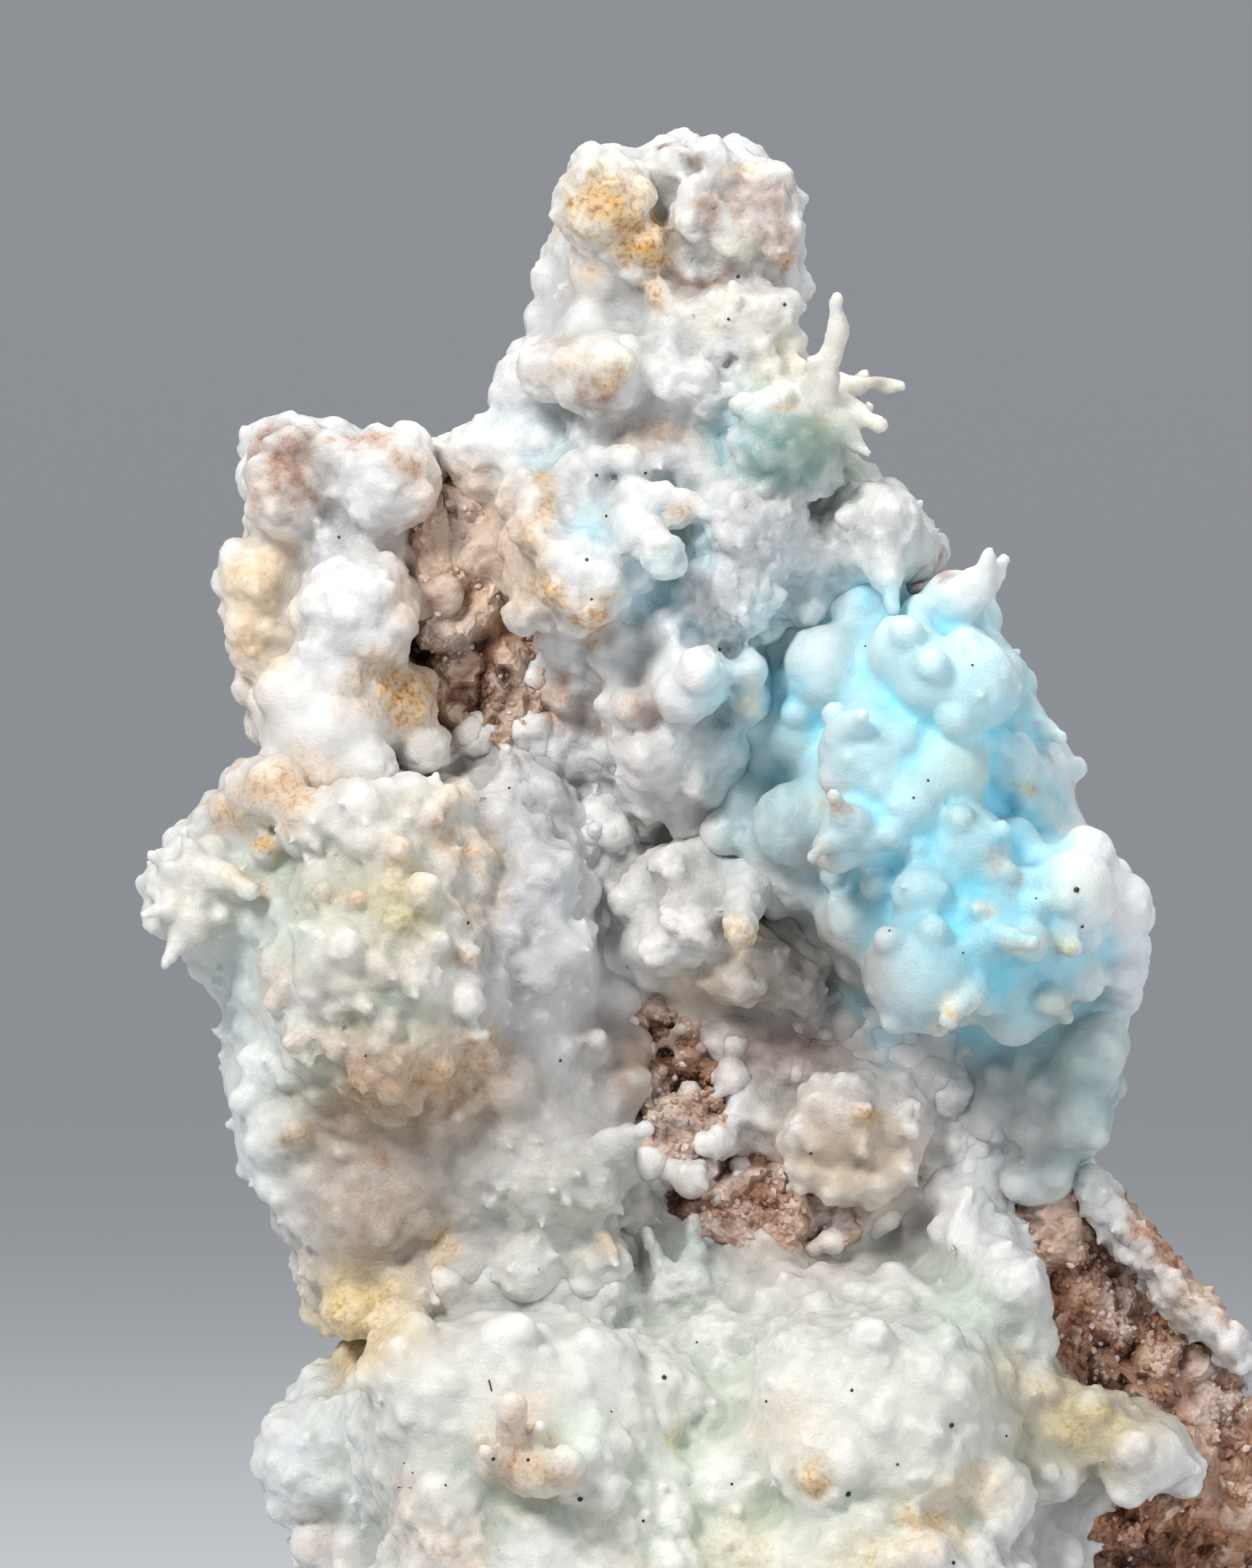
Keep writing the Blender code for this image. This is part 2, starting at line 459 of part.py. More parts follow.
def add_edge_lumps(bm, spec, tree):
    """Strews lumps round the outline, so that the sides are as knobbly as the face."""
    chance = np.random.default_rng(EDGE_SEED)
    for x, z in smooth_loop(spec["outline"])[::EDGE_STEP]:
        radius = chance.uniform(*EDGE_RADII)
        y = spec["plane"] + chance.uniform(*EDGE_SPREAD)
        hit, normal, _, _ = tree.find_nearest(Vector((x, y, z)) * MM)
        add_lump(bm, hit / MM - normal * radius * EDGE_SINK, (radius, radius, radius))


def grow(name, spec, collection):
    """A growth: its swollen sheet with its lumps, then the buds and fingers that stand on it."""
    thing = swollen_sheet(name, spec, collection)
    bm = bmesh.new()
    for x, y, z, width, depth, height, lean in spec["lumps"]:
        add_lump(bm, (x, y, z), (width, depth, height), lean)
    fuse_with(thing, bm)
    soften(thing, 3)
    settle(thing)
    bead(thing)
    tree = BVHTree.FromObject(thing, bpy.context.evaluated_depsgraph_get())
    bm = bmesh.new()
    add_edge_lumps(bm, spec, tree)
    for x, z, radius in spec["buds"]:
        hit, normal = surface_at(tree, x, z)
        add_lump(bm, hit + normal * radius * BUD_LIFT, (radius, radius, radius))
    for x, z, tip_x, tip_z, root_radius, tip_radius, reach in spec["fingers"]:
        root, _ = surface_at(tree, x, z)
        add_finger(bm, root, Vector((tip_x, root.y - reach, tip_z)), root_radius, tip_radius)
    fuse_with(thing, bm)
    soften(thing, 2)
    settle(thing)
    return thing


def break_rock(thing):
    """Pushes the rock in and out in flat-faced chunks."""
    places = read_places(thing) / MM
    seeds, nearest, chance = scattered_seeds(places, CHUNK_SIZE, CHUNK_SEED)
    facing = chance.uniform(-1, 1, (len(seeds), 3))
    level = chance.uniform(-1, 1, len(seeds))
    offset = (places - seeds[nearest]) / CHUNK_SIZE
    tilt = np.einsum("ij,ij->i", offset, facing[nearest])
    push_out(thing, CHUNK_RISE * (0.5 * level[nearest] + tilt))


def thin_out(thing, triangles):
    count = sum(len(face.vertices) - 2 for face in thing.data.polygons)
    fewer = thing.modifiers.new("thin", "DECIMATE")
    fewer.ratio = min(1.0, triangles / count)
    fewer.use_collapse_triangulate = True
    settle(thing)


def cut_foot(thing):
    """Planes the object off at the foot and closes the cut."""
    bm = bmesh.new()
    bm.from_mesh(thing.data)
    everything = bm.verts[:] + bm.edges[:] + bm.faces[:]
    cut = bmesh.ops.bisect_plane(bm, geom=everything, plane_co=(0, 0, 0),
                                 plane_no=(0, 0, 1), clear_inner=True)
    rim = [piece for piece in cut["geom_cut"] if isinstance(piece, bmesh.types.BMEdge)]
    bmesh.ops.triangle_fill(bm, edges=rim, use_beauty=True, normal=(0, 0, -1))
    bmesh.ops.recalc_face_normals(bm, faces=bm.faces[:])
    bm.to_mesh(thing.data)
    bm.free()


def keep_largest(thing):
    """Drops the crumbs that a cut has left loose."""
    bm = bmesh.new()
    bm.from_mesh(thing.data)
    unseen = set(bm.verts)
    islands = []
    while unseen:
        island = set()
        reached = [unseen.pop()]
        while reached:
            vert = reached.pop()
            island.add(vert)
            for edge in vert.link_edges:
                other = edge.other_vert(vert)
                if other in unseen:
                    unseen.discard(other)
                    reached.append(other)
        islands.append(island)
    islands.sort(key=len)
    crumbs = [vert for island in islands[:-1] for vert in island]
    bmesh.ops.delete(bm, geom=crumbs, context="VERTS")
    bm.to_mesh(thing.data)
    bm.free()


def swollen_copy(thing, collection, gap):
    """A cutter that stands clear of an object by the gap on every side."""
    copy = bpy.data.objects.new(thing.name + "_cutter", thing.data.copy())
    collection.objects.link(copy)
    copy.hide_render = True
    copy.display_type = "WIRE"
    push_out(copy, np.full(len(copy.data.vertices), gap))
    faces = len(copy.data.polygons)
    remesh(copy, GRAIN)
    settle(copy)
    thin_out(copy, CUTTER_FACES * faces)
    return copy


def cut(thing, cutters):
    for cutter in cutters:
        slot = thing.modifiers.new("clear", "BOOLEAN")
        slot.operation = "DIFFERENCE"
        slot.object = cutter
    settle(thing)
    keep_largest(thing)


def break_off_rock(name, spec, collection):
    """The rock: its swollen sheet, broken into flat-faced chunks and planed at the foot."""
    rock = swollen_sheet(name, spec, collection)
    soften(rock, 4)
    settle(rock)
    break_rock(rock)
    remesh(rock, ROCK_GRAIN)
    soften(rock, 1)
    settle(rock)
    thin_out(rock, spec["faces"])
    cut_foot(rock)
    return rock


def stone(thing, colour, roughness):
    """Gives an object its own material."""
    material = bpy.data.materials.new(thing.name)
    material.use_nodes = True
    shader = material.node_tree.nodes["Principled BSDF"]
    shader.inputs["Base Color"].default_value = (*colour, 1)
    shader.inputs["Roughness"].default_value = roughness
    shader.inputs["Metallic"].default_value = 0
    thing.data.materials.clear()
    thing.data.materials.append(material)


def centre(things):
    """Moves the origin to the middle of the foot's bounding rectangle."""
    places = np.concatenate([read_places(thing) for thing in things])
    middle = (places.min(axis=0) + places.max(axis=0)) / 2
    for thing in things:
        thing.data.transform(Matrix.Translation((-middle[0], -middle[1], 0)))


def main():
    clear_scene()
    parts = bpy.data.collections.new("aragonite")
    cutters = bpy.data.collections.new("clearances")
    for collection in (parts, cutters):
        bpy.context.scene.collection.children.link(collection)
    rock = break_off_rock("brown_rock", ROCK, parts)
    stone(rock, ROCK["colour"], ROCK["roughness"])
    rough_cutters = [swollen_copy(rock, cutters, ROUGH_GAP)]
    close_cutters = [swollen_copy(rock, cutters, GAP)]
    for name, spec in GROWTHS.items():
        growth = grow(name, spec, parts)
        thin_out(growth, ROUGH_FACES * spec["faces"])
        cut(growth, rough_cutters)
        thin_out(growth, spec["faces"])
        cut(growth, close_cutters)
        cut_foot(growth)
        stone(growth, spec["colour"], spec["roughness"])
        rough_cutters.append(swollen_copy(growth, cutters, ROUGH_GAP))
        close_cutters.append(swollen_copy(growth, cutters, GAP))
    centre(list(parts.objects))


main()
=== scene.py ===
"""Dresses the aragonite specimen: fine buds, fingers and crusts grown on each solid, a sugary
iron-stained rock, and their colours. Lengths are in millimetres of the drawing, in which X runs
right, Y away from the viewer and Z up, and whose origin lies left of the model's own.
"""

import math

import bmesh
import bpy
import numpy as np
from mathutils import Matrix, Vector
from mathutils.bvhtree import BVHTree


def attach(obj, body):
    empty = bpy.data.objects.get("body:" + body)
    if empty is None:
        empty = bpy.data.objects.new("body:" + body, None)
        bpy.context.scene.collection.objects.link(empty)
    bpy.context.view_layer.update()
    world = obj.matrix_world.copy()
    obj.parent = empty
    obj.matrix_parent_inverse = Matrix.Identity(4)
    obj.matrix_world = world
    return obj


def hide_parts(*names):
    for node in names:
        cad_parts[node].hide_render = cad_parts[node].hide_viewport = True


MM = 0.001                       # one drawn millimetre, in metres
ORIGIN = np.array((10.18, -0.22, 0.0))   # the model's origin in the drawing
FAR_FRONT = -90.0                # Y at which a line of sight starts
FRONT_DEPTH = 9                  # Y up to which the rock is crusted and sugared
PAINT_WHOLE = 7.0                # Y up to which the painted patches are whole
PAINT_END = 13.0                 # Y at which they end

SWELL = -0.2                     # how far a growth is swollen before its lumps are added
SKIRT_WIDTH = 5.5                # how far a growth spreads over the rock around it
SINK = 0.55                      # how deep a strewn lump sits in its growth, in radii
BALL_STEP = 0.35                 # how closely a finger's balls are strung
THINNEST = 0.62                  # least radius of a finger
CRUST_GRAIN = 0.5                # voxel of a growth's large forms
FINE_GRAIN = 0.36                # voxel of its finished surface
ROCK_GRAIN = 0.5                 # voxel of the rock
ROCK_FACES = 110000              # triangles of the rock
BLUR_ROUNDS = 200                # smoothing rounds that flatten a growth, to tell tips from hollows
FLAT_ROUNDS = 200                # smoothing rounds that press a dome flat
NUB_ROUNDS = 22                  # smoothing rounds that flatten only its nubs

# Layers of lumps where a growth spreads over the rock: spacing, least and greatest radius.
SKIRT_LUMPS = [(1.3, 1.8, 3.4), (1.1, 0.8, 1.6)]

# Bumps on a rough growth: spacing and height.
BUMPS = [(4.2, 0.45), (2, 0.36), (1.1, 0.24), (0.7, 0.13)]

# A fixed store of chance values, and the steps to a cell's neighbours and corners.
TABLE = np.random.default_rng(11).random((4096, 4))
NEIGHBOURS = [np.array((i, j, k)) for i in (-1, 0, 1) for j in (-1, 0, 1) for k in (-1, 0, 1)]
CORNERS = [np.array((i, j, k)) for i in (0, 1) for j in (0, 1) for k in (0, 1)]
CRYSTAL_CHANCE = np.random.default_rng(17)

# What the strewing tree is given.
STREW_INPUTS = {
    "Geometry": "Geometry", "Piece": "Object", "Spacing": "Float", "Density": "Float",
    "Least": "Float", "Greatest": "Float", "Lean": "Float", "Seed": "Int", "Finish": "Material",
}

# Colours, as the eye sees them.
WHITE = (0.93, 0.92, 0.91)
ICE = (0.86, 0.90, 0.92)
GREY = (0.78, 0.78, 0.78)
LILAC = (0.80, 0.77, 0.76)
CREAM = (0.90, 0.87, 0.79)
BEIGE = (0.85, 0.78, 0.69)
TAN = (0.84, 0.72, 0.57)
OCHRE = (0.82, 0.64, 0.34)
YELLOW = (0.86, 0.79, 0.60)
OLIVE = (0.70, 0.67, 0.46)
PINK = (0.86, 0.74, 0.65)
RUST = (0.55, 0.30, 0.14)
BROWN = (0.50, 0.38, 0.31)
DARK = (0.24, 0.15, 0.11)
SKY = (0.74, 0.89, 0.92)
CYAN = (0.50, 0.83, 0.92)
TEAL = (0.40, 0.54, 0.50)
MINT = (0.80, 0.85, 0.80)
DUSK = (0.64, 0.58, 0.52)
SOOT = (0.05, 0.04, 0.04)
FLANK = (0.865, 0.87, 0.87)      # the growths' general colour
NUB_TIP = (0.90, 0.80, 0.68)
ROCK_GROUND = (0.62, 0.46, 0.36)
ROCK_EDGE = (0.86, 0.76, 0.68)
ROCK_FROST = (0.86, 0.80, 0.78)
GRAIN_FROST = (0.86, 0.80, 0.80)
ORE_EDGE = (0.20, 0.12, 0.08)
FLOOR = (0.66, 0.67, 0.69)

# Factors that a colour is multiplied by: painted shade or painted glow in hollows and pits, and freckled
# stains.
HOLLOW_SHADE = (0.74, 0.74, 0.74)       # painted shade in a growth's hollows
CYAN_GLOW = (0.84, 1.06, 1.12)        # a deeper cyan with painted glow, in the hollows of the blue ground
FERN_SHADE = (0.88, 0.93, 0.88)        # painted shade tinted pale green, in the hollows of the pale growth at the foot
# painted shade in the rock's pits
ROCK_PIT_SHADE = (0.24, 0.17, 0.14)
FRECKLE = (0.50, 0.36, 0.24)

# The forms of each growth that are finer than its solid:
#   lumps      layers strewn over it: spacing, least and greatest radius
#   roughness  how high its bumps are
#   nubs       how many nubs stand on it, for each square millimetre
#   faces      most triangles
#   fillet     smoothing rounds once its domes are on
#   sink       how deep its domes sit in it, in radii
#   plugs      balls that fill its clefts: x, z, radius
#   domes      x, z, radius
#   buds       x, z, radius, lift of the centre above the surface in radii
#   fingers    reach towards the viewer, then a chain of x, z, radius
SUMMIT = {
    "node": "summit_growth", "slot": "summit_aragonite", "lumps": [(3, 0.9, 2), (1.9, 0.5, 1)],
    "roughness": 0.9, "nubs": 0.06, "faces": 135000, "fillet": 4, "sink": 0.72,
    "plugs": [
        (6.2, 76.2, 2.4), (5, 108.4, 2.8), (1.6, 108.8, 2.6), (16.8, 101.6, 2.6), (14.6, 94, 2.6),
        (2, 106.4, 3.2), (6, 105.4, 3), (-2.5, 107.6, 2.6), (-3, 116.6, 2.6), (3.4, 117.2, 2.6),
        (18.6, 96.4, 2.4), (3, 78.6, 2.4), (8.6, 91.4, 2.4), (-8.6, 103.6, 2.2),
    ],
    "domes": [
        (-3, 129.5, 2.4), (4.5, 131.4, 2), (9.5, 131, 2.2), (12.2, 128, 2), (-1.8, 126.8, 3),
        (1.7, 123.4, 2), (-2.4, 121, 2.2), (7, 126, 1.8), (8, 123.8, 2.6), (12, 123.5, 2), (6, 118.6, 2),
        (10, 118.4, 2.4), (12.6, 119.5, 1.8), (-3.5, 117, 2.6), (-6, 114.8, 2), (-1, 113.8, 2.8),
        (-0.8, 111.6, 1.2), (-3, 110.4, 1.8), (-8.5, 111.5, 2.5), (0.8, 108.3, 2.6), (5, 107, 2.4),
        (8, 104.5, 2.2), (11, 104.5, 2.2), (14.5, 106.8, 3.6), (12.8, 114.2, 2.2), (-9, 107, 2.6),
        (-12, 106, 2.2), (-6.5, 106.5, 2), (-3.5, 104, 1.8), (-6.5, 102.8, 1.6), (-3.6, 96.4, 2.9),
        (-7.4, 99, 1.6), (10, 100, 3.8), (9, 95.5, 3.4), (14.8, 93.5, 2.3), (11.5, 92, 2.4), (7, 95, 2.2),
        (14.5, 97.5, 2.6), (18, 100.5, 3.2), (21.5, 99.5, 2.6), (3.5, 92, 1.4), (0.5, 85.5, 2),
        (2.5, 82, 2.5), (9, 82, 1.6), (5.2, 87.3, 2.6), (10, 87.2, 2), (-2.7, 93.2, 1.8), (-1, 90, 2.2),
        (4, 95, 2), (-4.5, 90, 2), (6.5, 83.5, 1.8), (-1, 98, 2.2),
    ],
    "buds": [
        (9.7, 112.7, 1.2, 0.4), (9.9, 109.8, 1.25, 0.5), (8.8, 111.2, 0.9, 0.3), (11.2, 115.4, 1.3, 0.3),
        (13.5, 115.6, 1.3, 0.3), (12.2, 113.2, 1.3, 0.3), (10.6, 114.2, 1.1, 0.2), (14, 113.2, 1, 0.3),
        (13, 110.8, 1, 0.4), (15.2, 112.4, 0.9, 0.3), (-1.3, 113.6, 2.3, -0.4), (-5.6, 113.9, 1.6, -0.4),
        (-1.2, 111.7, 1, 0.3), (-5.6, 95.2, 1, 0.3), (-2.6, 93.4, 1.5, 0), (-7.3, 99.4, 1.2, 0),
        (4.1, 101.3, 1.2, 0.3), (3.6, 91.9, 1.2, 0.2), (0.5, 85.6, 1.8, -0.3), (-5.2, 86.5, 1.3, 0.1),
        (14.8, 93.4, 2, -0.4), (11.7, 91.8, 1.6, -0.2), (-3.2, 129.4, 1.6, -0.2), (1.4, 123.2, 1.7, -0.3),
        (2.8, 119.6, 1.4, 0),
    ],
    "fingers": [
        (2.5, [(16, 110.4, 1.3), (16.4, 112.5, 1.15), (16.9, 115, 0.85), (17.4, 116.6, 0.95),
            (17.1, 117.6, 0.7), (17.2, 118.8, 0.4)]),
        (2.2, [(16.8, 112, 1.2), (18.8, 112, 0.9), (20.4, 112.4, 0.65), (21.4, 112, 0.75),
            (22.5, 112.1, 0.6)]), (1.8, [(18.8, 112, 0.8), (19.6, 112.9, 0.5)]),
        (1.6, [(16, 112.8, 0.8), (15.2, 113.8, 0.6)]),
        (1.5, [(17, 110.6, 1.2), (19, 109.6, 0.9), (19.8, 109, 0.65), (20.6, 108.8, 0.75)]),
        (1.6, [(19, 109.6, 0.8), (20, 110.3, 0.5)]),
        (1, [(17, 109, 1.2), (18.4, 107.6, 0.9), (19, 106.8, 0.7), (19.8, 106.4, 0.5)]),
        (2, [(0.2, 103, 1.5), (3, 102.6, 1.4), (5.6, 101.9, 1.3), (7, 101.2, 0.9)]),
        (3.4, [(0.2, 100.8, 1.9), (1.6, 99.4, 2), (3, 97.9, 1.9)]),
        (3.6, [(-4.6, 105.2, 1.35), (-2.2, 105.6, 1.4), (0, 106, 1.15)]),
        (2.2, [(21, 98, 1.7), (21.4, 96, 1.2), (21.9, 93.6, 0.65)]),
        (3.6, [(4.4, 86.2, 2.2), (6.2, 88.8, 1.8)]), (3.6, [(10.4, 85.4, 1.6), (10, 88.8, 1.5)]),
    ],
}
BLUE = {
    "node": "blue_growth", "slot": "blue_aragonite", "lumps": [(3.8, 1.2, 2.2), (3.2, 0.5, 1)],
    "roughness": 0.4, "nubs": 0.02, "faces": 95000, "fillet": 9, "sink": 0.55,
    "plugs": [
        (19.6, 93.6, 2.4), (9.8, 84.2, 2.2), (8.6, 75.2, 2.2), (12, 74.4, 2.6), (11.6, 71.6, 2.4),
        (14, 91.6, 3), (12.8, 87, 2.8), (12, 82.4, 2.8), (10.4, 77.6, 2.8), (17, 94.6, 2.4), (21, 96, 2.2),
        (16.8, 86.4, 2.4), (16.4, 79.4, 2.6), (24.4, 84.4, 2.6), (22.4, 71.8, 2.8), (31.6, 74.4, 2.6),
        (30.6, 88.6, 2.4), (15.4, 71.4, 2.8), (34.4, 72, 2.4), (31, 63.6, 2.6),
    ],
    "domes": [
        (16.5, 89, 3.4), (14.5, 83.5, 2.9), (22.5, 90.5, 2.8), (25, 88, 2.8), (28.5, 87, 3.6),
        (20, 81.5, 3.8), (26, 80.5, 3.6), (22.5, 78, 2.4), (19, 75.5, 2.8), (21.6, 75, 2.1), (28, 74, 3.3),
        (31.5, 81, 2.5), (34.5, 80.5, 1.4), (36.5, 70.5, 3.3), (23.5, 64, 4.4), (34.5, 61.5, 2),
        (32, 60.5, 2.8), (40.5, 64.2, 2.6), (38, 63, 1.8), (41, 69, 2.8), (38.6, 74, 2.2), (37, 52, 2.6),
        (38, 57, 2.8), (39.8, 57.8, 2), (38.6, 53.6, 1.8), (36, 49.8, 1.8), (37.8, 49.4, 1.5),
        (40.4, 60.6, 1.8), (35.4, 55, 2), (13.5, 76, 3.2), (12, 79.5, 2.4), (18.5, 68.5, 3), (31, 86, 2.4),
        (34, 77, 1.8), (32.5, 66.5, 1.8), (30, 93, 2.4), (27, 94.5, 2.4), (24, 70.5, 2.4), (28.5, 69, 1.6),
        (20, 94.5, 2), (30.5, 70, 1.6), (28, 65, 2.4), (19.5, 86, 2.2), (33, 56.5, 2.2),
    ],
    "buds": [
        (22.9, 91.6, 1.5, 0), (24.9, 89, 1.5, 0.1), (14, 85.2, 1.5, 0), (30.5, 75.4, 0.9, 0.3),
        (30.8, 72, 1.2, 0.3), (37, 80.6, 1, 0.2), (34.6, 61.7, 1.5, 0), (35.8, 60.4, 0.8, 0.3),
        (40.8, 63.4, 1.6, -0.2), (36.2, 66.3, 1, 0.3), (28.6, 69, 0.8, 0.4), (21.6, 75.2, 1.3, 0),
        (17.2, 84.8, 1.2, 0.2), (26.8, 84.6, 1.8, -0.2), (30.2, 83, 1.5, 0), (32.6, 78, 1.3, 0.1),
        (23.6, 74, 1.5, -0.1), (27.2, 76.4, 1.4, 0), (20.4, 71.2, 1.7, -0.2), (17, 72, 1.4, 0),
        (25, 67.4, 1.6, -0.1), (21.4, 66.6, 1.5, -0.1), (37.8, 66.8, 1.5, -0.1), (33.2, 69.2, 1.2, 0.1),
        (29.2, 61.6, 1.4, -0.1),
    ],
    "fingers": [
        (2.2, [(26.8, 94, 2), (28.6, 95.4, 1.7), (29.6, 96.8, 1), (29.7, 98.2, 0.5)]),
        (1.2, [(28.8, 95.4, 1.5), (30.4, 96.6, 0.8), (30.9, 97.7, 0.5)]),
        (3.2, [(18.8, 75.8, 1.5), (17.6, 76.8, 1.1), (16.9, 78.3, 0.7)]),
        (2.8, [(18, 75.4, 1.3), (16.2, 74.4, 0.9), (15.1, 73.3, 0.5)]),
        (2.6, [(17.8, 83.6, 1.3), (18.6, 84.3, 1.1), (19.2, 84.9, 0.8)]),
        (3, [(28.4, 62.8, 1.4), (27.2, 61.4, 1.1), (26.2, 60.1, 0.9)]),
        (1, [(33.8, 84.2, 1), (35, 83.6, 0.7), (35.8, 83.1, 0.4)]),
        (2, [(30, 67, 1.2), (31.4, 66.7, 1), (33, 66.4, 0.8)]),
    ],
}
SPIRE = {
    "node": "spire_growth", "slot": "spire_aragonite", "lumps": [(3.2, 1, 2.2), (2.2, 0.5, 1)],
    "roughness": 0.7, "nubs": 0.03, "faces": 60000, "fillet": 5, "sink": 0.75,
    "plugs": [
        (-21.4, 98.6, 3), (-22, 89, 2.8), (-21, 80.6, 2.6), (-16.6, 82.2, 2.4), (-25, 80.8, 2.8),
        (-28.4, 80.8, 2.2),
    ],
    "domes": [
        (-21, 103, 3.2), (-24, 99, 2.8), (-23, 93.5, 3.6), (-23.5, 89.6, 2.8), (-29.5, 96, 2.6),
        (-30.5, 92.6, 2), (-31, 90.2, 1.6), (-18, 86.5, 2.8), (-27.5, 104, 2.2), (-26.5, 108, 2.2),
        (-29.6, 108.5, 1.6), (-22, 107, 2), (-18.6, 105, 1.8), (-29.5, 100, 2), (-20.5, 97, 2.2),
        (-30.5, 86.5, 1.6), (-19.5, 91, 1.6), (-20.4, 98.6, 3), (-24.6, 96.6, 2.6), (-19.2, 101, 2.4),
        (-27, 101.4, 2.4), (-21.6, 89.6, 2.6), (-27.4, 92, 2.4), (-28, 88, 2.4),
    ],
    "buds": [],
    "fingers": [],
}
CREAM_SIDE = {
    "node": "cream_growth", "slot": "cream_aragonite", "lumps": [(3.6, 1.1, 2.3), (2.2, 0.5, 1.1)],
    "roughness": 0.7, "nubs": 0.2, "faces": 140000, "fillet": 3, "sink": 0.62,
    "plugs": [
        (-14, 40, 3.4), (-8, 39.6, 3.4), (-2.4, 40, 3), (-18, 37.6, 2.8), (-13, 45.6, 3.2),
        (-13.4, 50.6, 2.6),
    ],
    "domes": [
        (-29.5, 79.5, 2.8), (-33, 77.4, 1.6), (-35.5, 70.5, 3.6), (-35.5, 67, 2.2), (-26, 76, 2.2),
        (-21.5, 77.5, 2.4), (-17, 78.5, 2.2), (-13.5, 78.8, 1.8), (-9.5, 79.6, 1.8), (-25.5, 71.8, 2.6),
        (-19.5, 72.8, 2.4), (-14.2, 73, 2.2), (-24, 66.5, 2.6), (-19, 67.5, 2.4), (-14, 67.8, 2),
        (-28.5, 64, 2.2), (-22, 62.8, 2.2), (-16.5, 63.6, 2.2), (-12.5, 63, 1.6), (-26, 58, 2.4),
        (-20.5, 57.6, 2.8), (-15.5, 58.4, 2.2), (-30.5, 56, 2.4), (-29.6, 51, 2), (-25, 52.6, 2),
        (-19.5, 52.6, 2.4), (-14.4, 52.8, 2.2), (-10, 55, 2.4), (-8, 70, 3), (-7.5, 75.5, 2.6),
        (-8, 64.5, 2.4), (-7, 60, 2), (-13.2, 47.2, 2), (-26, 39.5, 2.2), (-22, 36, 2.2),
        (-17.8, 37.4, 1.6), (-11, 41.5, 2), (-6.5, 41.5, 2), (-1.8, 45.4, 2.2), (-1.5, 49.3, 1.6),
        (-28.2, 45, 1.8), (-10, 50.6, 1.8), (-31.5, 62, 2), (-30.5, 68, 2),
    ],
    "buds": [
        (-29.5, 74, 1.3, 0.2), (-24.6, 70.3, 1, 0.3), (-21.8, 69.9, 0.9, 0.3), (-14.5, 78.3, 1.2, 0.2),
        (-15.6, 76.1, 0.9, 0.3), (-18.5, 73.8, 1.2, 0.2), (-12, 73.4, 1.3, 0.1), (-12.8, 65.5, 1.1, 0.3),
        (-28.5, 61.6, 1.1, 0.3), (-27.2, 58.4, 0.9, 0.4), (-26, 56.9, 0.8, 0.4), (-12.2, 58.9, 1.2, 0.2),
        (-11.5, 57.4, 1, 0.3), (-2.8, 58.2, 1.2, 0.4), (-27.2, 50.8, 1.3, 0.2), (-14, 52.3, 0.9, 0.4),
        (-18.7, 63.5, 0.5, 0.8), (-33.4, 68.6, 0.9, 0.4), (-17.2, 62.2, 0.5, 0.6), (-23.4, 49, 0.8, 0.3),
        (-28.4, 79, 3, -0.3), (-15.4, 56.4, 2.2, -0.2), (-19.6, 59.4, 1.4, 0.2), (-23, 66, 1.8, 0),
        (-16.6, 70.4, 1.8, 0), (-21, 74.6, 1.8, 0), (-25, 54.4, 1.6, 0.1), (-18, 53.6, 1.6, 0.1),
        (-13, 61.6, 1.6, 0.1), (-23.4, 58, 1.5, 0.2), (-15.6, 66.4, 1.4, 0.2), (-20, 64.6, 1.5, 0.1),
        (-25.6, 62.6, 1.3, 0.1), (-9.4, 67, 1.6, 0),
    ],
    "fingers": [
        (2.4, [(-34.6, 72.2, 1.3), (-32.6, 71.6, 1.1), (-30.6, 70.5, 0.8)]),
        (3.4, [(-25.6, 61, 0.85), (-23, 61.4, 0.85), (-20.8, 61, 0.7)]),
        (1, [(-35.6, 73.4, 1), (-36.2, 75.4, 0.5)]), (1, [(-37, 71.8, 1), (-38.8, 73.4, 0.5)]),
        (0.8, [(-37.2, 69.4, 1), (-39.4, 68.7, 0.5)]), (0.8, [(-36.4, 66.8, 1), (-37.8, 64.6, 0.5)]),
        (2.4, [(-1.8, 49.4, 1.35), (0.2, 50.4, 1.15), (1.5, 51, 0.85)]),
        (1.6, [(-2.2, 42.2, 1), (-1.2, 40.8, 0.8), (-0.8, 39.9, 0.5)]),
        (0.8, [(-9.6, 80.8, 0.9), (-9.8, 82.2, 0.5)]),
    ],
}
